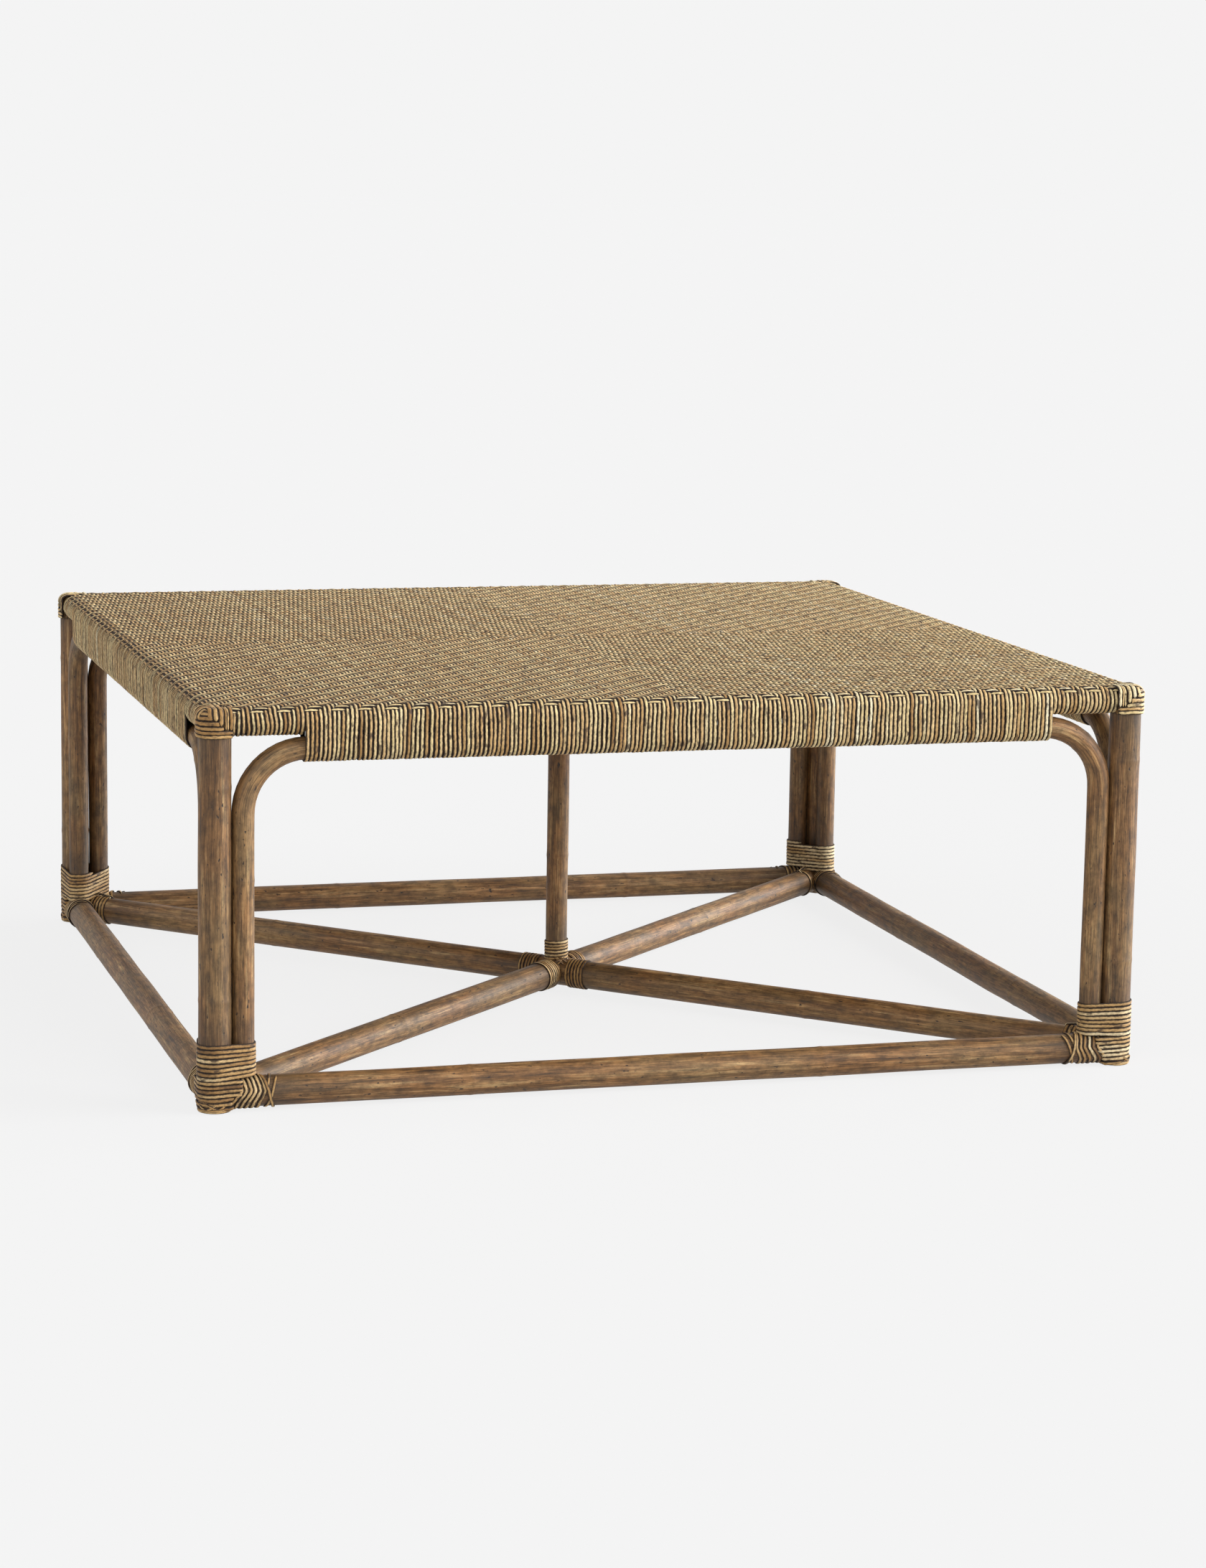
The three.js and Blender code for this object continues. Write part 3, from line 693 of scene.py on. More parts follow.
@dataclass
class Poles:
    """The round poles of the frame that are in sight."""

    sides: int = 32
    ring_step: float = 9.0
    node_swell: float = 0.35
    node_length: float = 3.6
    node_dark: float = 0.16
    stain_dark: float = 0.58
    stain_length: float = 24.0
    rounding: float = 4.0
    wander: float = 0.25
    bend: float = 68.0
    arch_foot: float = 38.4
    diagonal_reach: float = 501.0
    foot_stain: float = 62.0
    middle_stain: float = 46.0
    cross_radius: float = 14.0
    cross_reach: float = 495.0
    cross_z: float = 402.2
    post_span: tuple[float, float] = (28.0, 394.0)

    def pole(self, path: np.ndarray, outward: np.ndarray, radius: float, shares: tuple[float, ...],
             seed: int, stains: tuple[float, ...] = ()) -> Run:
        """One pole along a path.

        Its radius is the plain one with slow unevenness, a bell-shaped swell at each node and rounded ends.

        Args:
            path: points of the axis in mm.
            outward: one vector that is never along the path.
            radius: plain radius.
            shares: places of the nodes as shares of the length.
            seed: number of the pole.
            stains: where stain has gathered, in mm from the start, or from the end if below 0.

        Returns:
            The pole as a run.
        """
        walked = lengths(path)
        length = walked[-1]
        plain = np.linspace(0, length, int(length / self.ring_step) + 2)
        near = np.array([-7.0, -4.5, -2.6, -1.3, -0.5, 0.3, 1.2, 2.4, 4.5, 7.0])
        nodes = np.array(shares) * length
        ends = np.array([0.8, 2.0, 4.0])
        at = np.concatenate([plain, (nodes[:, None] + near).ravel(), ends, length - ends])
        at = np.unique(at.clip(0, length))
        axis = sampled(at, walked, path)
        facing = np.broadcast_to(outward, axis.shape)
        bell = np.exp(-((at[:, None] - nodes) / self.node_length) ** 2).sum(axis=1)
        rim = np.minimum(at, length - at)
        short = 1.0 - np.minimum(rim, self.rounding) / self.rounding
        uneven = 1.0 + 0.008 * drift(at, seed * 57.0, seed, 60.0, 260.0)
        size = (radius * uneven + self.node_swell * bell) * (1.0 - 0.11 * short ** 2.5)
        sway = self.wander * np.clip(rim / 60.0, 0, 1) * drift(at, 9.0, seed + 400, 200.0, 500.0)
        direction = unit(np.gradient(axis, axis=0))
        axis = axis + np.cross(direction, unit(facing)) * sway[:, None]
        tone = np.full(len(at), np.random.default_rng(seed).uniform(0, 1))
        mark = self.node_dark * np.exp(-((at[:, None] - nodes - 0.3) / 0.9) ** 2).sum(axis=1)
        for place in stains:
            away = np.abs(at - (place if place > 0 else length + place))
            mark = np.maximum(mark, self.stain_dark * np.exp(-away / self.stain_length))
        return carry(axis, facing, np.full(len(at), seed), round_profile(self.sides), size, size, tone, mark)

    def arch_path(self) -> np.ndarray:
        """Axis of the front arch: up, a quarter bend, across, a quarter bend and down.

        Returns:
            Its points.
        """
        bend = self.bend
        turn = np.linspace(0, math.pi / 2, 20)
        left = -ARCH_AXIS + bend - bend * np.cos(turn)
        rise = CROWN_Z - bend + bend * np.sin(turn)
        half_x = np.concatenate([np.full(39, -ARCH_AXIS), left])
        half_z = np.concatenate([np.linspace(self.arch_foot, CROWN_Z - bend, 40)[:-1], rise])
        across = np.linspace(left[-1], -left[-1], 90)[1:-1]
        x = np.concatenate([half_x, across, -half_x[::-1]])
        z = np.concatenate([half_z, np.full(len(across), CROWN_Z), half_z[::-1]])
        return np.stack([x, np.full(len(x), -LEG_AXIS), z], axis=1)

    def build(self) -> None:
        """Makes the legs, arches, stretchers, diagonals, post and cross rails."""
        rows = []
        for corner in Corner:
            rows.append((f"leg_pole_{corner.label}", f"leg_{corner.label}",
                         corner.turn(line(LEG, LEG + LEG_TOP * Z)), corner.turn(X + Y), LEG_RADIUS,
                         (0.28, 0.81), 11 + corner.value, (74.0, 397.0)))
        low = STRETCHER_Z * Z
        begin = LEG + low + X
        stretcher = line(begin, begin + (2 * LEG_AXIS - 2) * X)
        for side in Side:
            for kind, path, radius, shares, seed, stain in (
                    ("stretcher", stretcher, STRETCHER_RADIUS, (0.27, 0.66), 21, 60.0),
                    ("arch", self.arch_path(), ARCH_RADIUS, (0.13, 0.47, 0.79), 31, 36.0)):
                rows.append((f"{kind}_pole_{side.label}", f"{kind}_{side.label}", side.turn(path),
                             side.turn(Y), radius, shares, seed + side.value, (stain, -stain)))
        reach, away = self.diagonal_reach, self.middle_stain
        diagonal, across, middle = reach * (X + Y), reach * (X - Y), reach * math.sqrt(2)
        half = ((0.52,), (away, -self.foot_stain))
        high, far, thin = self.cross_z * Z, self.cross_reach, self.cross_radius
        for name, begin, end, facing, radius, seed, shares, stains in (
                ("diagonal_through", low - across, low + across, Z, STRETCHER_RADIUS, 41, (0.21, 0.74),
                 (self.foot_stain, middle - away, middle + away, -self.foot_stain)),
                ("diagonal_half_front", low, low - diagonal, Z, STRETCHER_RADIUS, 42, *half),
                ("diagonal_half_back", low, low + diagonal, Z, STRETCHER_RADIUS, 43, *half),
                ("centre_post", *(z * Z for z in self.post_span), X + Y, POST_RADIUS, 51, (0.37,),
                 (33.0, 345.0)),
                ("cross_rail_long", high - far * X, high + far * X, Z, thin, 61, (0.35,), ()),
                ("cross_rail_front", high, high - far * Y, Z, thin, 62, (0.35,), ()),
                ("cross_rail_back", high, high + far * Y, Z, thin, 63, (0.35,), ())):
            rows.append((f"{name}_pole", name, line(begin, end), facing, radius, shares, seed, stains))
        finish = POLE_FINISH.material()
        for name, node, *sizes in rows:
            make_piece(name, [self.pole(*sizes)], finish, [node])


@dataclass
class CaneBindings:
    """The strands of cane peel that tie the poles together.

    A climb has the place where its turns start and their advance in a turn. A short end has its angles and
    its heights, first and last. A stretcher tie has its places along the pole, its angles round it, how far
    it stands off and its width.
    """

    steps: int = 60
    foot_start: float = 0.12
    foot_turns: float = 8.0
    leg_climb: tuple[float, float] = (34.2, 4.95)
    arch_climb: tuple[float, float] = (36.5, 4.45)
    lashing_turns: float = 6.9
    lashing_climb: tuple[float, float] = (2.3, 4.6)
    tip: float = 1.6
    tails: tuple[float, float] = (14.5, 24.5)
    stretcher_turns: float = 6.0
    stretcher_climb: tuple[float, float] = (26.0, 5.1)
    short_ends: tuple[tuple[float, float, float, float], ...] = (
        (232, 272, 10.5, 3.6), (262, 226, 9.0, 3.2), (268, 300, 4.0, 9.6), (196, 228, 9.5, 4.0),
        (148, 338, 1.9, 2.3), (330, 176, 4.2, 3.4))
    stretcher_ties: tuple[tuple[float, ...], ...] = (
        (46.5, 62.5, 100.0, -80.0, 1.4, 3.9), (65.0, 51.5, 75.0, -75.0, 0.1, 3.4),
        (59.5, 53.5, 112.0, 18.0, 0.1, 3.2))
    leg_tie: tuple[tuple[float, float, float], ...] = (
        (44.0, 37.0, 33.6), (40.5, 39.5, 36.0), (30.0, 30.0, 38.2), (12.0, 17.0, 38.6))
    knot: tuple[tuple[tuple[float, ...], tuple[float, ...]], ...] = (
        ((-7.0, -16.0, 38.5), (7.0, -19.5, 28.5)), ((6.0, -16.0, 39.0), (-6.0, -19.5, 29.0)),
        ((-2.0, -15.5, 39.5), (10.0, -18.5, 31.5)), ((-9.5, -18.0, 33.5), (3.0, -17.0, 36.0)))

    def strand(self, path: np.ndarray, outward: np.ndarray, seed: int, width: float, thickness: float,
               shade: float = 0.56) -> Run:
        """One strand of cane along a path, with tapered ends and a slow change of width and tone.

        Args:
            path: points on the face that carries the strand.
            outward: outward vectors at the points.
            seed: number of the strand.
            width: full width.
            thickness: height of the crown.
            shade: its tone, 0 for the darkest and 1 for the palest.

        Returns:
            The strand as a run.
        """
        walked = lengths(path)
        taper = 0.35 + 0.65 * np.clip(np.minimum(walked, walked[-1] - walked) / 5.0, 0, 1)
        wide = width / 2 * taper * (1.0 + 0.05 * drift(walked, seed * 11.0, seed, 25.0, 120.0))
        high = thickness * taper * (1.0 + 0.09 * drift(walked, 0.0, seed + 7, 20, 80))
        tone = shade + 0.3 * drift(walked, seed * 3.0, seed + 3, 60.0, 300.0)
        # painted shade: a little extra groove darkening, uneven along the strand
        shade_and_marks = 0.05 + 0.05 * drift(walked, 0.0, seed + 9, 15.0, 60.0)
        number = np.full(len(path), seed)
        return carry(path, outward, number, cane_profile(9, 3, 0.12, 0.5), wide, high, tone, shade_and_marks)

    def foot_binding(self, corner: Corner) -> list[Run]:
        """Eight turns drawn taut round a leg and two arch feet.

        At turn t the strand is 34.2 + 4.95 t high round the leg and 36.5 + 4.45 t round the arches. At the
        back left corner it lies up to 4 mm lower round the arch on the side.

        Args:
            corner: the corner of the table.

        Returns:
            The strand.
        """
        loop = Loop(((-LEG_AXIS, -LEG_AXIS, LEG_RADIUS + REST), (-ARCH_AXIS, -LEG_AXIS, ARCH_RADIUS + REST),
                     (-LEG_AXIS, -ARCH_AXIS, ARCH_RADIUS + REST)))
        turn = np.linspace(0, self.foot_turns, int(self.foot_turns * self.steps * 1.2))
        plan, out = loop.walk(self.foot_start + turn)
        inward = np.clip(((plan + LEG_AXIS).sum(axis=1) / math.sqrt(2) + 12.0) / 36.0, 0, 1)
        wobble = 0.25 * drift(turn * loop.walked[-1], 0.0, 700 + corner.value, 30.0, 90.0)
        by_leg, by_arch = (low + climb * turn for low, climb in (self.leg_climb, self.arch_climb))
        height = by_leg * (1 - inward) + by_arch * inward + wobble
        if corner is Corner.BACK_LEFT:
            height = height - 4.0 * np.clip((plan[:, 0] + LEG_AXIS) / 30.0, -0.2, 1.2)
        # painted light: the bindings at the right-hand corners are paler, the front left one darker
        painted_light_tones = {Corner.FRONT_RIGHT: 0.68, Corner.FRONT_LEFT: 0.4, Corner.BACK_RIGHT: 0.95}
        return [self.strand(corner.turn(np.column_stack([plan, height])),
                            corner.turn(np.column_stack([out, np.zeros(len(out))])), 101 + corner.value,
                            width=4.75, thickness=1.8, shade=painted_light_tones.get(corner, 0.58))]

    def foot_lashing(self, corner: Corner) -> list[Run]:
        """Seven turns low round a leg, carried straight on along the outer faces of the two stretchers.

        The lowest turns are drawn in under the foot, and six short ends are tucked across them.

        Args:
            corner: the corner of the table.

        Returns:
            The strands.
        """
        turn = np.linspace(0, self.lashing_turns, int(self.lashing_turns * self.steps * 1.2))
        edge = -LEG_AXIS - STRETCHER_RADIUS + self.tip
        (near, near_out), (far, far_out) = (
            Loop(((-LEG_AXIS, -LEG_AXIS, LEG_RADIUS + REST), (-LEG_AXIS + tail, edge, self.tip),
                  (edge, -LEG_AXIS + tail, self.tip))).walk(self.foot_start + turn) for tail in self.tails)
        low, climb = self.lashing_climb
        height = low + climb * turn + 0.3 * drift(turn * 110.0, 0.0, 730 + corner.value, 30.0, 90.0)
        share = np.clip((height - 8.0) / 9.0, 0, 1)[:, None]
        plan, out = near * (1 - share) + far * share, unit(near_out * (1 - share) + far_out * share)
        low = np.clip((9.0 - height) / 9.0, 0, 1)
        path = np.column_stack([plan - out * (1.8 * low ** 1.5)[:, None], height])
        # painted light: the front right lashing is paler than the others
        runs = [self.strand(corner.turn(path), corner.turn(np.column_stack([out, -0.6 * low])),
                            111 + corner.value, width=4.3, thickness=1.8,
                            shade=0.74 if corner is Corner.FRONT_RIGHT else 0.36)]
        share = np.linspace(0, 1, 26)
        for number, (begin, end, from_z, to_z) in enumerate(self.short_ends):
            out = spokes(np.radians(begin + (end - begin) * share))
            level = from_z + (to_z - from_z) * share
            away = LEG_RADIUS + 1.0 - 1.8 * np.clip((9.0 - level) / 9.0, 0, 1) ** 1.5
            path = np.column_stack([out * away[:, None] - LEG_AXIS, level])
            outward = np.column_stack([out, np.full(26, -0.3)])
            runs.append(self.strand(corner.turn(path), corner.turn(outward),
                                    161 + corner.value * 6 + number, width=3.4, thickness=1.5))
        return runs

    def round_stretcher(self, side: Side, end: int, from_leg: np.ndarray, angle: np.ndarray,
                        away: float | np.ndarray) -> Route:
        """Points over a stretcher's skin.

        Args:
            side: the side of the table.
            end: 0 for the left end, 1 for the right one.
            from_leg: distance from the leg's axis.
            angle: 0 on the outer face, a quarter turn on top.
            away: distance from the skin.

        Returns:
            The points and their outward vectors.
        """
        x = (-LEG_AXIS + from_leg) * (1 if end == 0 else -1)
        radius, cosine, sine = STRETCHER_RADIUS + away, np.cos(angle), np.sin(angle)
        path = np.stack([x, -LEG_AXIS - radius * cosine, STRETCHER_Z + radius * sine], axis=1)
        return side.turn(path), side.turn(np.stack([np.zeros_like(angle), -cosine, sine], axis=1))

    def stretcher_binding(self, side: Side, end: int) -> list[Run]:
        """Six turns round a stretcher's end, drawn to a point on the outer face, and ties beside them.

        Round the pole by angle a, 0 on the outer face and 90 degrees on top, turn t has its point at
        26 + 5.1 t from the leg's axis and 13 degrees up. From there the strand falls back by 4 mm up to 62
        degrees, and by 10 mm in the first turns and 5 mm in the last ones down to -30 degrees.

        Args:
            side: the side of the table.
            end: 0 for the left end, 1 for the right one.

        Returns:
            The strands.
        """
        turn = np.linspace(0, self.stretcher_turns, int(self.stretcher_turns * self.steps))
        angle = 2 * math.pi * turn - math.pi
        wrapped = np.mod(angle + math.pi, 2 * math.pi) - math.pi
        bends = np.radians([-180, -90, -30, 13, 62, 90, 180])
        back = np.interp(wrapped, bends, [8.0, 1.0, 0.0, 0.0, 4.2, 6.2, 8.0])
        count = turn - 0.536
        back = back + np.interp(wrapped, bends, [0.0, 1.0, 1.0, 0.0, 0.0, 0.0, 0.0]) * (10.0 - 0.9 * count)
        back = np.convolve(np.pad(back, 1, mode="edge"), (0.25, 0.5, 0.25), mode="valid")
        seed = 121 + side.value * 2 + end
        wobble = 0.25 * drift(turn * 100.0, 0.0, 760 + seed, 40.0, 120.0)
        first, advance = self.stretcher_climb
        route = self.round_stretcher(side, end, first + advance * count - back + wobble, angle, REST)
        runs = [self.strand(*route, seed, width=4.1, thickness=1.7)]
        share = np.linspace(0, 1, 70)
        for number, (begin, stop, from_deg, to_deg, proud, width) in enumerate(self.stretcher_ties, 1):
            angle = np.radians(from_deg + (to_deg - from_deg) * share)
            route = self.round_stretcher(side, end, begin + (stop - begin) * share, angle,
                                         REST + proud * np.sin(math.pi * share))
            runs.append(self.strand(*route, seed + 20 * number, width, thickness=1.5))
        return runs

    def coil(self, start: np.ndarray, direction: np.ndarray, up: np.ndarray, radius: float, turns: float,
             pitch: float, seed: int, shade: float = 0.4) -> Run:
        """A plain helix of cane round a pole: start + direction * pitch * t + radius * (cos, sin) across it.

        Args:
            start: point on the pole's axis.
            direction: unit vector along the pole.
            up: unit vector across the pole, where the helix starts.
            radius: the pole's radius.
            turns: number of turns.
            pitch: advance in one turn.
            seed: number of the strand.
            shade: its tone, 0 for the darkest and 1 for the palest.

        Returns:
            The strand as a run.
        """
        turn = np.linspace(0, turns, int(turns * self.steps * 0.8))
        angle = 2 * math.pi * turn
        outward = np.cos(angle)[:, None] * up + np.sin(angle)[:, None] * np.cross(direction, up)
        wobble = 0.4 * drift(turn * 90.0, 0.0, 800 + seed, 30.0, 110.0)
        path = start + direction * (pitch * turn + wobble)[:, None] + (radius + REST) * outward
        return self.strand(path, outward, seed, width=pitch - 0.15, thickness=1.4, shade=shade)

    def diagonal_end_binding(self, corner: Corner) -> list[Run]:
        """Five turns round a diagonal's end, or a single loop at the back right, and thin ties to the leg.

        Args:
            corner: the corner of the table.

        Returns:
            The strands.
        """
        arm = unit(corner.turn(X + Y))
        begin, turns = (50.0, 1.0) if corner is Corner.BACK_RIGHT else (32.0, 5.0)
        foot = corner.turn(LEG + STRETCHER_Z * Z)
        runs = [self.coil(foot + arm * begin, arm, -Z, STRETCHER_RADIUS, turns, 4.9, 181 + corner.value)]
        path = sampled(np.linspace(0, 3, 30), np.arange(4), np.array(self.leg_tie)) + LEG
        for place, mirrored in enumerate((path, path[:, [1, 0, 2]] + 1.2 * Z)):
            runs.append(self.strand(corner.turn(mirrored), np.broadcast_to(Z, path.shape),
                                    185 + corner.value + 4 * place, width=2.6, thickness=1.2, shade=0.8))
        return runs

    def arm_binding(self, corner: Corner) -> list[Run]:
        """Six turns round a diagonal near the crossing.

        Args:
            corner: the corner of the table.

        Returns:
            The strand.
        """
        arm = unit(corner.turn(-X - Y))
        shade = 0.5 if corner is Corner.FRONT_LEFT else 0.24
        return [self.coil(STRETCHER_Z * Z + arm * 20.0, arm, -Z, STRETCHER_RADIUS, 6.0, 4.2,
                          141 + corner.value, shade)]

    def post_binding(self) -> list[Run]:
        """Seven turns round the post's foot, and a dark knot of four bowed strands before it.

        Returns:
            The strands.
        """
        runs = [self.coil(31.4 * Z, Z, unit(X + Y), POST_RADIUS, 7.2, 3.9, 146, 0.6)]
        share = np.linspace(0, 1, 22)[:, None]
        for number, (begin, end) in enumerate(np.array(self.knot)):
            path = begin + share * (end - begin)
            path = path + (0.4 * Z - Y) * (1.2 + 0.5 * number) * np.sin(math.pi * share)
            runs.append(self.strand(path, np.broadcast_to(0.45 * Z - 0.9 * Y, path.shape), 191 + number,
                                    width=2.6, thickness=1.4, shade=0.1))
        return runs

    def build(self) -> None:
        """Makes all bindings."""
        rows = []
        for corner in Corner:
            for kind, runs in (("foot_binding", self.foot_binding(corner)),
                               ("foot_lashing", self.foot_lashing(corner))):
                rows.append((f"{kind}_cane_{corner.label}", runs, [f"{kind}_{corner.label}"]))
            rows.append((f"diagonal_end_cane_{corner.label}", self.diagonal_end_binding(corner), []))
        for side in Side:
            for end in (0, 1):
                name = f"{side.label}_{side.ends[end]}"
                rows.append((f"stretcher_binding_cane_{name}", self.stretcher_binding(side, end),
                             [f"stretcher_binding_{name}"]))
        for corner in Corner:
            rows.append((f"arm_binding_cane_{corner.label}", self.arm_binding(corner),
                         [f"arm_binding_{corner.label}"]))
        rows.append(("post_binding_cane", self.post_binding(), ["post_binding"]))
        finish = CANE_FINISH.material()
        for name, runs, nodes in rows:
            make_piece(name, runs, finish, nodes)


@dataclass
class TwillWeave:
    """The woven skin: a top of two crossing families of strands, carried down the four aprons.

    A strand is over three and under three, and each next strand is shifted by one. The shift turns round at
    the two centre lines, which gives the top its four fields of slanting ridges.
    """

    pitch: float = 4.8
    half_count: int = 109
    last_wrapped: int = 103
    last_deep: int = 87
    top_ring_cell: int = 105
    repeat: int = 6
    float_cells: int = 3
    width: float = 4.75
    keel: float = 0.45
    crown: float = 1.5
    lift: float = 1.0
    # groove depth added where a strand is under another: painted shade
    under_shade: float = 0.85
    apron_crown: float = 1.7
    apron_step: float = 4.4
    middle_z: float = 429.5
    # painted light: strands grow paler and less shaded towards the right
    painted_light_slope: float = 0.06
    pieces_per_family: int = 4

    @property
    def count(self) -> int:
        """The number of strands in a family."""
        return 2 * self.half_count + 1

    def skin(self, family: Weft, along: np.ndarray, lateral: np.ndarray, height: np.ndarray) -> Route:
        """Points of the table's skin.

        Arc lengths x and y from the table's middle are flat up to the legs' axes and turn round the rails
        beyond, so that a point is the flat part plus R sin(turn) sideways, and R cos(turn) above the rail's
        axis.

        Args:
            family: the family of strands.
            along: arc length along the strands.
            lateral: arc length across them.
            height: height over the weave's middle.

        Returns:
            The points and the outward vectors.
        """
        radius = self.middle_z - RAIL_Z
        outer = radius + height
        places, slopes, level = [], [], 1.0
        for arc in (along, lateral) if family is Weft.ALONG_X else (lateral, along):
            turn = np.clip((np.abs(arc) - LEG_AXIS) / radius, 0, None)
            places.append(np.sign(arc) * (np.minimum(np.abs(arc), LEG_AXIS) + outer * np.sin(turn)))
            slopes.append(np.sign(arc) * np.sin(turn))
            level = level * np.cos(turn)
        points = np.stack([*places, RAIL_Z + outer * level], axis=-1)
        return points, unit(np.stack([*slopes, level], axis=-1))

    def crossings(self, family: Weft) -> tuple[np.ndarray, np.ndarray, np.ndarray, np.ndarray]:
        """How a family of strands lies at its crossings: highest in a float's middle, darkest where under,
        as painted shade.

        Args:
            family: the family of strands.

        Returns:
            The strand numbers as a column, and three tables by strand and crossing: True where over, the
            height over the weave's middle, and what is added to the groove depth: painted shade where under
            and at a float's ends.
        """
        own = np.arange(-self.half_count, self.half_count + 1)[:, None]
        shift = np.abs(own) - np.abs(own.T)
        if family is Weft.ALONG_Y:
            over = np.mod(shift, self.repeat) >= self.float_cells
        else:
            over = np.mod(-shift, self.repeat) < self.float_cells
        before = np.concatenate([over[:, :1], over[:, :-1]], axis=1)
        after = np.concatenate([over[:, 1:], over[:, -1:]], axis=1)
        inner = over & before & after
        height = np.where(over, np.where(inner, self.lift, 0.55 * self.lift), -self.lift)
        # painted shade: strands are darkened where under, and a little at a float's ends
        return own, over, height, np.where(over, np.where(inner, 0.0, 0.06), self.under_shade)

    def sideways(self, own: np.ndarray, along: np.ndarray, family: Weft) -> np.ndarray:
        """Sideways drift of the strands, alike for neighbours, with a small offset of each strand's own.

        Args:
            own: the strands' numbers.
            along: arc length along them.
            family: the family of strands.

        Returns:
            How far they lie off their places.
        """
        seed = 5 if family is Weft.ALONG_X else 6
        each = np.random.default_rng(seed).normal(0.0, 0.12, self.count)[own + self.half_count]
        return 0.42 * drift(own * self.pitch, along, seed + 10, 70.0, 240.0) + each

    def laid(self, route: Route, strand: np.ndarray, family: Weft, wide: np.ndarray, high: np.ndarray,
             shade_and_marks: np.ndarray) -> Run:
        """Strands of a family along their routes, each in its own tone, with painted light that makes them
        paler and less shaded towards the right.

        Args:
            route: points and outward vectors.
            strand: the strand's row at each point.
            family: the family of strands.
            wide: half width at each point.
            high: crown's height at each point.
            shade_and_marks: what is added to the groove depth at each point, which is painted shade.

        Returns:
            The strands as a run.
        """
        draw = np.random.default_rng(3 if family is Weft.ALONG_X else 4)
        # painted light: paler tone and less groove shade towards the right
        painted_light = self.painted_light_slope * route[0][:, 0] / LEG_AXIS
        tone = draw.beta(2.0, 2.0, self.count)[strand] + painted_light
        return carry(*route, strand, cane_profile(5, 2, self.keel), wide, high, tone, shade_and_marks - painted_light)

    def top_runs(self, family: Weft) -> list[Run]:
        """The strands of one family on the top, in a few runs of neighbouring strands.

        Rings stand only where a strand is over, and at the crossings beside. The outer strands stop short.

        Args:
            family: the family of strands.

        Returns:
            The runs.
        """
        own, over, height, shade_and_marks = self.crossings(family)
        before = np.concatenate([~over[:, :1], over[:, :-1]], axis=1)
        after = np.concatenate([over[:, 1:], ~over[:, -1:]], axis=1)
        reach = np.where(np.abs(own) > self.top_ring_cell, self.last_wrapped + 1, self.top_ring_cell)
        used = over | before | after | (np.abs(own.T) == reach)
        used &= np.abs(own.T) <= reach
        runs = []
        for group in np.array_split(np.arange(self.count), self.pieces_per_family):
            row, column = np.nonzero(used[group])
            row = group[row]
            number, along = own[row, 0], own[column, 0] * self.pitch
            route = self.skin(family, along, number * self.pitch + self.sideways(number, along, family),
                              height[row, column])
            runs.append(self.laid(route, row, family, np.full(len(row), self.width / 2),
                                  np.full(len(row), self.crown), shade_and_marks[row, column]))
        return runs

    def apron_route(self, deep: bool) -> tuple[np.ndarray, np.ndarray, np.ndarray]:
        """Route of a strand in the upright plane across a side, from the outer edge round to the inner side.

        It is drawn taut round the rail, and round the arch's crown too where the apron is deep. Its
        directions are (sin a, cos a).

        Args:
            deep: True where the strand takes in the arch.

        Returns:
            Distance from the table's middle, height, and the direction's angle a.
        """
        angle = np.radians(np.arange(53.0, 326.0, 1.0))
        circles = np.array([(LEG_AXIS, RAIL_Z, RAIL_WRAP_RADIUS - self.apron_crown),
                            (LEG_AXIS, CROWN_Z, CROWN_WRAP_RADIUS - self.apron_crown)])
        points = taut(circles[:2 if deep else 1], spokes(angle)[:, ::-1])
        walked = lengths(points)
        at = np.linspace(0, walked[-1], 28 if deep else 19)
        far, level = sampled(at, walked, points).T
        return far, level, np.interp(at, walked, angle)

    def apron_run(self, side: Side, numbers: np.ndarray, deep: bool) -> Run:
        """Strands of one apron, from the last crossings of the top to the inner side.

        Args:
            side: the side of the table.
            numbers: the strands' numbers.
            deep: True where they take in the arch.

        Returns:
            The strands as a run.
        """
        family = Weft.ALONG_Y if side in (Side.FRONT, Side.BACK) else Weft.ALONG_X
        order = [0, 1, 2] if family is Weft.ALONG_Y else [1, 0, 2]
        sign = -1 if side in (Side.FRONT, Side.LEFT) else 1
        _, _, height, shade_and_marks = self.crossings(family)
        last = sign * np.arange(self.top_ring_cell, self.half_count + 1)
        rows = numbers + self.half_count
        crossing = (rows[:, None], last[None, :] + self.half_count)
        number = numbers[:, None]
        place = number * self.pitch
        column = np.repeat(number, len(last), axis=1)
        along = np.broadcast_to(last * self.pitch, column.shape)
        lateral = column * self.pitch + self.sideways(column, along, family)
        upper, upper_out = self.skin(family, along, lateral, height[crossing])
        far, level, angle = self.apron_route(deep)
        proud = np.random.default_rng(40 + side.value).normal(0.0, 0.14, self.count)[rows][:, None]
        walked = np.arange(len(far)) * self.apron_step
        ease = np.clip(walked / 14.0, 0, 1)
        edge = np.full((1, 1), self.half_count * self.pitch * sign)
        lateral = place + self.sideways(number, edge, family)
        lateral = lateral + 0.65 * drift(place, walked[None, :], 50 + side.value, 26.0, 95.0, 8) * ease
        lateral = lateral + 0.9 * drift(place, walked[None, :] * 0.25, 60 + side.value, 60.0, 160.0) * ease
        out_far, out_up = np.sin(angle), np.cos(angle)
        lower = np.stack([lateral, sign * (far + proud * out_far * ease), level + proud * out_up * ease],
                         axis=-1)
        lower_out = np.stack([0.0 * out_far, sign * out_far, out_up], axis=-1)
        path = np.concatenate([upper, lower[..., order]], axis=1)
        outward = np.concatenate([upper_out, np.broadcast_to(lower_out[:, order], lower.shape)], axis=1)
        growth = np.concatenate([np.zeros(len(last)), ease])
        high = self.crown + (self.apron_crown - self.crown) * growth
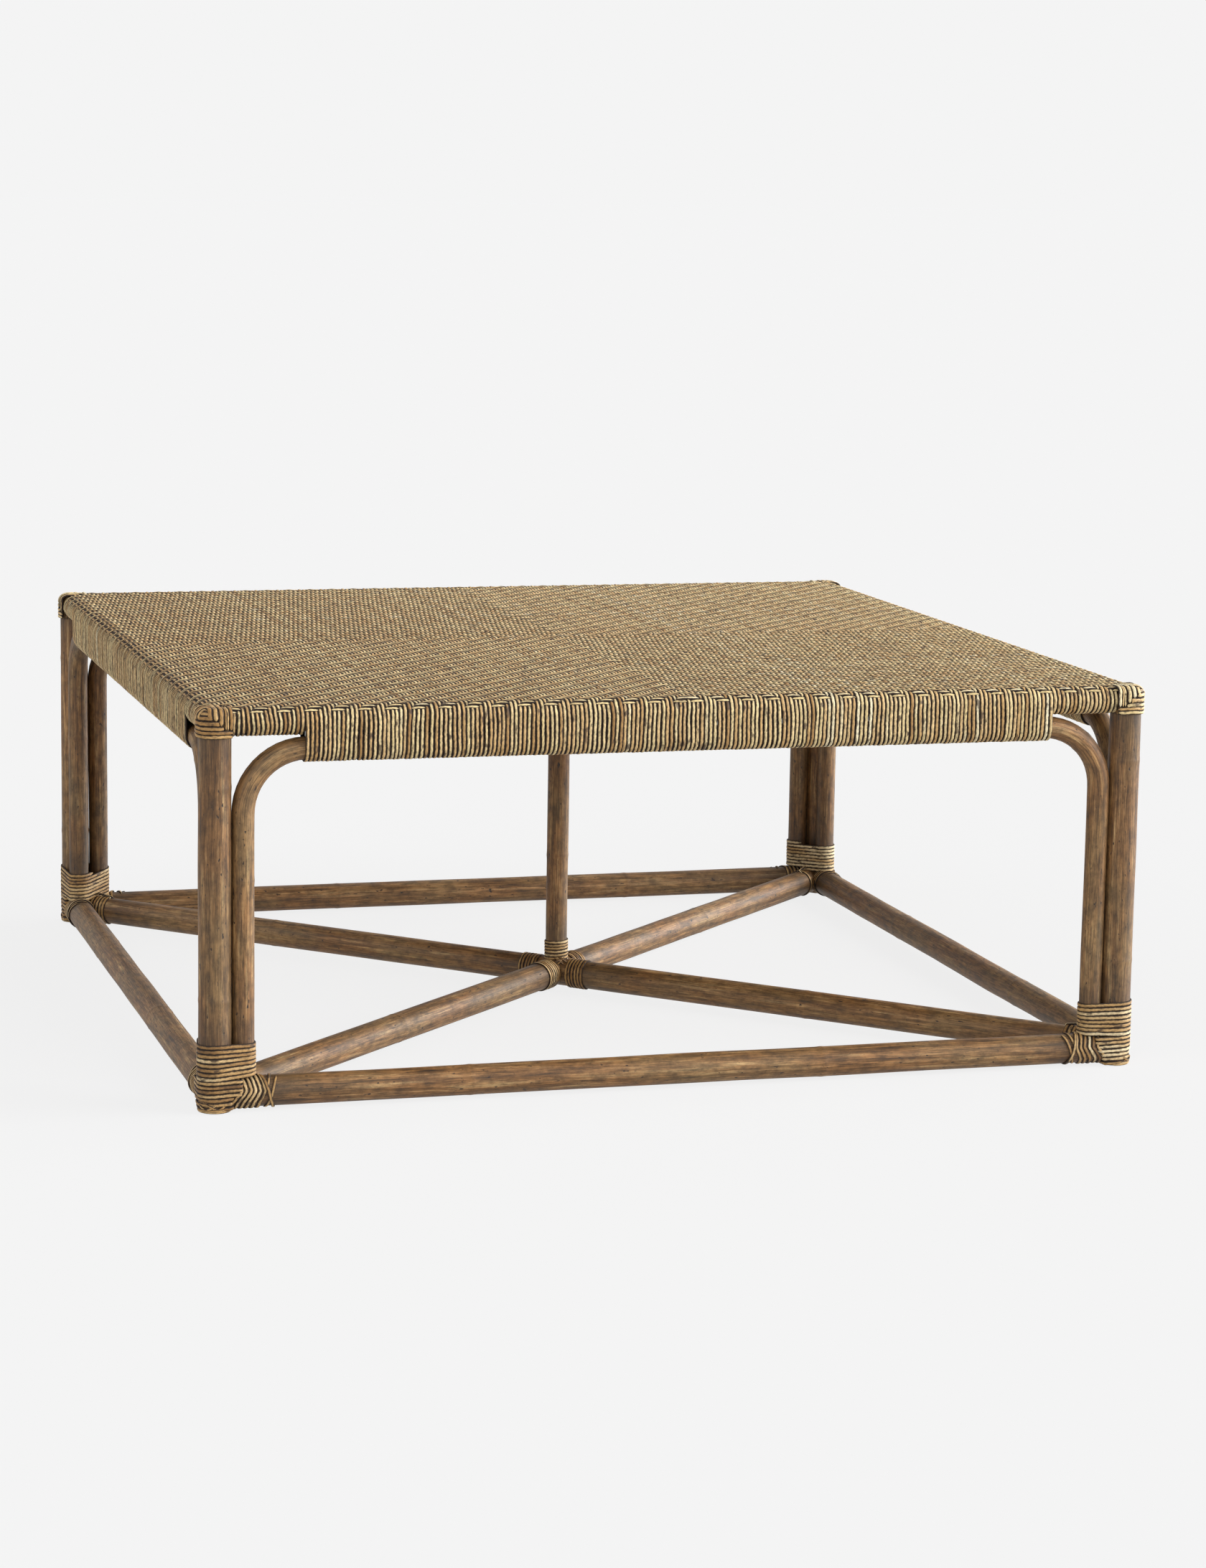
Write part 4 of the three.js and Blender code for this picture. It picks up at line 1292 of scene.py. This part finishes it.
        # painted shade: groove darkening at the top's crossings, fading to none down the apron's face
        apron_shade = np.concatenate([shade_and_marks[crossing], np.zeros(lateral.shape)], axis=1)
        apron_shade[:, len(last)] = 0.15 * apron_shade[:, len(last) - 1]
        uneven = drift(number * 7.0, np.arange(len(growth))[None, :] * 4.5, 70 + side.value, 20.0, 80.0)
        wide = self.width / 2 * (1 + 0.07 * uneven * growth)
        return self.laid((path.reshape(-1, 3), outward.reshape(-1, 3)), np.repeat(rows, len(growth)), family,
                         wide.ravel(), np.tile(high, len(numbers)), apron_shade.ravel())

    def build(self) -> None:
        """Makes the pieces of the top and the four aprons."""
        finish = CORE_FINISH.material()
        for family in Weft:
            for number, run in enumerate(self.top_runs(family), 1):
                make_piece(f"top_strands_{family.value}_{number}", [run], finish, ["woven_top"])
        deep = np.arange(-self.last_deep, self.last_deep + 1)
        shallow = np.arange(self.last_deep + 1, self.last_wrapped + 1)
        for side in Side:
            runs = [self.apron_run(side, deep, True), self.apron_run(side, -shallow[::-1], False),
                    self.apron_run(side, shallow, False)]
            make_piece(f"apron_strands_{side.label}", runs, finish, [f"apron_{side.label}"])


@dataclass
class CornerCaps:
    """The plaited caps over the tops of the legs.

    Six strands come over the shoulder from each side and end in steps on rows that run round the outer
    corner. A fall has its place across, its width, the height of its end and where it comes up on either
    side. A row has its height, the degrees that it turns through to either side, how far it then runs on,
    and its width. The sleeve's foot has its radii and heights.
    """

    radius: float = 20.5
    shoulder: float = 11.0
    crown: float = 1.9
    tuck: float = 0.12
    falls: tuple[tuple[float, float, float, float, float], ...] = (
        (-7.4, 5.8, 424.8, 0.0, -10.0),
        (-1.8, 5.9, 419.4, 13.0, -5.0),
        (4.0, 5.6, 413.8, 20.0, 0.5),
        (8.6, 2.5, 409.6, 7.0, 6.0),
        (10.9, 2.5, 409.4, 6.0, 7.0),
        (14.4, 4.3, 409.2, 5.0, 8.0),
    )
    rows: tuple[tuple[float, float, float, float], ...] = (
        (428.9, 6.0, 0.0, 2.8),
        (425.9, 15.0, 0.0, 4.6),
        (421.9, 29.5, 0.0, 5.0),
        (416.2, 45.0, 1.2, 5.6),
        (411.0, 45.0, 6.4, 4.7),
        (406.6, 45.0, 16.2, 4.4),
        (402.4, 45.0, 15.8, 4.4),
    )
    inner_rows: tuple[float, ...] = (402.4, 406.6, 411.0, 415.4)
    inner_width: float = 4.4
    sleeve_foot: tuple[tuple[float, float], ...] = ((17.8, 399.9), (18.2, 401.0), (18.2, 410.0))
    sleeve_inset: float = 2.3
    # groove darkening of the sleeve: painted shade in the gaps between the cap's strands
    sleeve_shade: float = 0.6

    def dome(self, u: float, v: np.ndarray) -> tuple[np.ndarray, np.ndarray]:
        """Height and outward vector of the strands' axes over points of the cap's plan.

        With r the distance from the leg's axis, or only the part along v where u is above 0, the cap is
        level up to the flat radius f and then falls as s - sqrt(s^2 - (r - f)^2), where s is the shoulder's
        radius.

        Args:
            u: distance from the axis along the strand's own side.
            v: distances from the axis across it.

        Returns:
            Heights, and outward vectors.
        """
        round_over = self.shoulder - self.crown
        left = np.full_like(v, min(u, 0.0))
        far = np.hypot(left, v)
        beyond = np.clip((far - self.radius + self.shoulder) / round_over, 0, 1)
        rise = np.sqrt(1 - beyond ** 2)
        scale = beyond / np.maximum(far, 1e-6)
        outward = np.stack([left * scale, v * scale, rise + 1e-3], axis=-1)
        return TABLE_TOP - self.shoulder + round_over * rise, unit(outward)

    def fall(self, offset: float, stop: float, start: float, seed: int) -> Route:
        """Route of one strand over the cap, parallel to y, down the front face to its stop.

        Args:
            offset: distance from the leg's axis along x.
            stop: height of its lower end.
            start: distance from the leg's axis along y at which it comes up out of the weave.
            seed: number of the strand.

        Returns:
            Points about the leg's axis, and outward vectors.
        """
        outer = self.radius - self.crown
        left = min(offset, 0.0)
        edge = -math.sqrt(outer ** 2 - left ** 2) + self.tuck * max(offset, 0.0)
        v = np.linspace(start, edge, 60)
        height, outward = self.dome(offset, v)
        height = height - 2.2 * np.clip(1 - (start - v) / 3.5, 0, 1) ** 2
        z = np.concatenate([height, np.linspace(height[-1], stop, 24)[1:]])
        v = np.concatenate([v, np.full(23, edge)])
        outward = np.concatenate([outward, np.broadcast_to(unit(np.array([left, edge, 0.0])), (23, 3))])
        path = np.stack([np.full_like(v, offset), v, z], axis=1)
        walked = lengths(path)
        at = np.linspace(0, walked[-1], 34)
        path, outward = sampled(at, walked, path), unit(sampled(at, walked, outward))
        path[:, 0] += 0.25 * drift(at, 0.0, seed, 14.0, 40.0)
        return path, outward

    def round_corner(self, level: float, spread: float, reach: float) -> Route:
        """Route of a row round the outer corner and on along both faces, drawn in a little as it goes.

        Above the shoulder's foot the row lies on the dome, at the radius that the dome has at its height.

        Args:
            level: the row's height.
            spread: degrees to either side of the corner's diagonal that it turns through.
            reach: how far it then runs on.

        Returns:
            Points about the leg's axis, and outward vectors.
        """
        round_over = self.shoulder - self.crown
        climb = min(max((level - TABLE_TOP + self.shoulder) / round_over, 0.0), 1.0)
        flat = math.sqrt(1 - climb ** 2)
        around = self.radius - self.shoulder + round_over * flat
        out = spokes(np.radians(np.linspace(225 - spread, 225 + spread, 26)))
        arc = around * out
        if reach > 0:
            ahead = np.linspace(0, reach, 14)[1:]
            front = np.stack([ahead, self.tuck * ahead - around], axis=1)
            arc = np.concatenate([front[::-1, ::-1], arc, front])
            plain = np.broadcast_to([0.0, -1.0], front.shape)
            out = np.concatenate([plain[:, ::-1], out, plain])
        height = level + 0.35 * drift(np.arange(len(arc)) * 2.0, level, 17, 25.0, 60.0)
        return np.column_stack([arc, height]), np.column_stack([out * flat, np.full(len(out), climb)])

    def laid(self, route: Route, corner: Corner, seed: int, tone: float, width: float) -> Run:
        """One strand of a cap, turned to its corner.

        Args:
            route: points about the leg's axis, and outward vectors.
            corner: the corner of the table.
            seed: number of the strand.
            tone: its tone.
            width: its full width.

        Returns:
            The strand as a run.
        """
        path, outward = route
        count = len(path)
        near_end = np.minimum(np.arange(count), np.arange(count)[::-1])
        taper = 0.6 + 0.4 * np.clip(near_end / 2.0, 0, 1)
        wide = width / 2 * taper * (1 + 0.04 * drift(np.arange(count) * 1.5, 0.0, seed, 12.0, 50.0))
        # painted shade: darker towards the strand's ends, where they tuck under, a little lighter elsewhere
        shade_and_marks = -0.1 + 0.3 * (1 - np.clip(near_end / 1.5, 0, 1))
        return carry(corner.turn(path + LEG), corner.turn(outward), np.full(count, seed),
                     cane_profile(9, 3, 0.35, 0.65), wide, min(self.crown, 0.45 * width) * taper,
                     np.full(count, tone), shade_and_marks)

    def sleeve(self, corner: Corner) -> Run:
        """A filling under a cap's strands, darkened as painted shade so the gaps between them look dark: a
        domed sleeve whose radius follows the cap's section.

        Args:
            corner: the corner of the table.

        Returns:
            The sleeve as a run.
        """
        bend = (self.shoulder - self.sleeve_inset) * spokes(np.linspace(0, math.radians(83), 9))
        dome = np.array([self.radius, TABLE_TOP]) - self.shoulder + bend
        size, level = np.concatenate([self.sleeve_foot, dome]).T
        path = LEG + level[:, None] * Z
        count = len(path)
        return carry(corner.turn(path), np.broadcast_to(X, path.shape), np.full(count, 260),
                     round_profile(32), size, size, np.zeros(count), np.full(count, self.sleeve_shade))

    def build(self) -> None:
        """Makes the four caps."""
        finish = CORE_FINISH.material()
        for corner in Corner:
            runs = []
            draw = np.random.default_rng(90 + corner.value)
            # painted shade: the front left cap's strands are darker than the others
            dark = -0.3 if corner is Corner.FRONT_LEFT else 0.25
            first = 200 + corner.value * 40
            for mirrored in (False, True):
                for place, (offset, width, stop, *starts) in enumerate(self.falls, first + 10 * mirrored):
                    route = self.fall(offset, stop, starts[mirrored], place)
                    if mirrored:
                        route = tuple(rows[:, [1, 0, 2]] for rows in route)
                    runs.append(self.laid(route, corner, place, draw.uniform(dark, dark + 0.75), width))
            for place, (level, spread, reach, width) in enumerate(self.rows, first + 30):
                route = self.round_corner(level, spread, reach)
                runs.append(self.laid(route, corner, place, draw.uniform(dark, dark + 0.45), width))
            out = np.column_stack([spokes(np.radians(np.linspace(-20, 110, 24))), np.zeros(24)])
            for place, level in enumerate(self.inner_rows, first + 40):
                route = (out * (self.radius - self.crown) + level * Z, out)
                runs.append(self.laid(route, corner, place, draw.uniform(0.2, 0.8), self.inner_width))
            runs.append(self.sleeve(corner))
            make_piece(f"corner_cap_strands_{corner.label}", runs, finish,
                       [f"corner_cap_{corner.label}"])


@dataclass
class HiddenFrame:
    """The solids that stay as they are: the rails inside the aprons and the deck under the weave."""

    def build(self) -> None:
        """Gives the rails and the deck their materials."""
        rail, deck = RAIL_FINISH.material(), DECK_FINISH.material()
        for node, finish in (*((f"rail_{side.label}", rail) for side in Side), ("deck", deck)):
            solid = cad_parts[node]
            solid.data.materials.clear()
            solid.data.materials.append(finish)
            LOG.info("%s: dressed", node)


@dataclass
class Studio:
    """A pale floor, soft light from all round with more of it from the right, and the camera.

    A lamp has its name, the direction in which its light travels, its strength and its spread in degrees.
    """

    focal_px: float = 5337.1
    image_height_px: float = 2185.0
    sensor_mm: float = 36.0
    yaw_deg: float = 16.0365
    pitch_deg: float = 9.4672
    roll_deg: float = 0.9271
    place: tuple[float, float, float] = (-1.2125, -4.4132, 1.0143)
    backdrop: str = "F4F4F4"
    sky_strength: float = 0.25
    floor_half: float = 60.0
    floor_z: float = -0.0004
    lamps: tuple[tuple[str, tuple[float, float, float], float, float], ...] = (
        ("key_lamp", (-0.92, 0.24, -0.3), 5.1, 50.0),
        ("front_lamp", (0.25, 0.9, -0.35), 0.6, 60.0),
        ("fill_lamp", (0.7, 0.32, -0.6), 0.85, 60.0),
        ("rim_lamp", (-0.85, -0.5, -0.1), 1.4, 20.0),
    )

    def seat(self, name: str, data: bpy.types.ID, right: np.ndarray, up: np.ndarray, back: np.ndarray,
             place: tuple[float, float, float] = (0.0, 0.0, 0.0)) -> bpy.types.Object:
        """Puts a camera or a lamp at its place.

        Args:
            name: its name.
            data: the camera or the lamp.
            right: its own x direction.
            up: its own y direction.
            back: its own z direction, against its view or its light.
            place: where it stands, in metres.

        Returns:
            Its object.
        """
        made = bpy.data.objects.new(name, data)
        turn = np.eye(4)
        turn[:3] = np.column_stack([right, up, back, place])
        made.matrix_world = Matrix(turn.tolist())
        bpy.context.scene.collection.objects.link(made)
        return made

    def camera(self) -> None:
        """Sets the camera where the photograph was taken from.

        Forward is (sin yaw cos pitch, cos yaw cos pitch, -sin pitch), right is level, and both right and up
        are then turned about forward by the roll.
        """
        yaw, pitch, roll = (math.radians(a) for a in (self.yaw_deg, self.pitch_deg, self.roll_deg))
        forward = math.cos(pitch) * (math.sin(yaw) * X + math.cos(yaw) * Y) - math.sin(pitch) * Z
        level = math.cos(yaw) * X - math.sin(yaw) * Y
        rise = np.cross(level, forward)
        lens = bpy.data.cameras.new("camera")
        lens.lens = self.focal_px * self.sensor_mm / self.image_height_px
        lens.sensor_width = self.sensor_mm
        lens.clip_end = 200.0
        bpy.context.scene.camera = self.seat(
            "camera", lens, math.cos(roll) * level + math.sin(roll) * rise,
            math.cos(roll) * rise - math.sin(roll) * level, -forward, self.place)

    def sun(self, name: str, towards: tuple[float, float, float], strength: float,
            spread_deg: float) -> None:
        """A soft lamp far away.

        Args:
            name: the lamp's name.
            towards: direction in which its light travels.
            strength: its strength.
            spread_deg: how wide it is, which softens its shadows.
        """
        lamp = bpy.data.lights.new(name, "SUN")
        lamp.energy, lamp.angle = strength, math.radians(spread_deg)
        back = -unit(np.array(towards))
        side = unit(np.cross(Z, back))
        self.seat(name, lamp, side, np.cross(back, side), back)

    def sky(self) -> None:
        """An even white sky for light, which the camera, gloss and glass see in the backdrop's colour."""
        world = bpy.data.worlds.new("studio_sky")
        world.use_nodes = True
        tree = world.node_tree
        tree.nodes.clear()
        light = add_node(tree, "Background", {"Color": "FFFFFF", "Strength": self.sky_strength})
        shown = add_node(tree, "Background", {"Color": self.backdrop, "Strength": 1.0})
        mixed = add_node(tree, "MixShader", {0: shown_share(tree, 1.0), 1: light, 2: shown})
        add_node(tree, "OutputWorld", {"Surface": mixed})
        bpy.context.scene.world = world

    def floor(self) -> None:
        """A floor so wide that its far edge meets the backdrop, as an even grid."""
        grid = np.linspace(-self.floor_half, self.floor_half, 9)
        x, y = np.meshgrid(grid, grid)
        points = np.stack([x.ravel(), y.ravel(), np.full(x.size, self.floor_z)], axis=1)
        corner = (np.arange(8)[:, None] * 9 + np.arange(8)).ravel()
        faces = np.stack([corner, corner + 1, corner + 10, corner + 9], axis=1)
        mesh = bpy.data.meshes.new("floor")
        mesh.from_pydata(points.tolist(), [], faces.tolist())
        mesh.materials.append(FLOOR_FINISH.material())
        made = bpy.data.objects.new("floor", mesh)
        bpy.context.scene.collection.objects.link(made)

    def build(self) -> None:
        """Makes the whole studio."""
        self.camera()
        self.sky()
        for lamp in self.lamps:
            self.sun(*lamp)
        self.floor()
        bpy.context.scene.view_settings.view_transform = "Standard"


def main() -> None:
    """Builds the studio and the table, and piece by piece."""
    logging.basicConfig(level=logging.INFO, format="%(message)s")
    for assembly in (Studio(), HiddenFrame(), Poles(), CaneBindings(), TwillWeave(), CornerCaps()):
        assembly.build()
        LOG.info("%s: done", type(assembly).__name__)


if __name__ == "__main__":
    main()
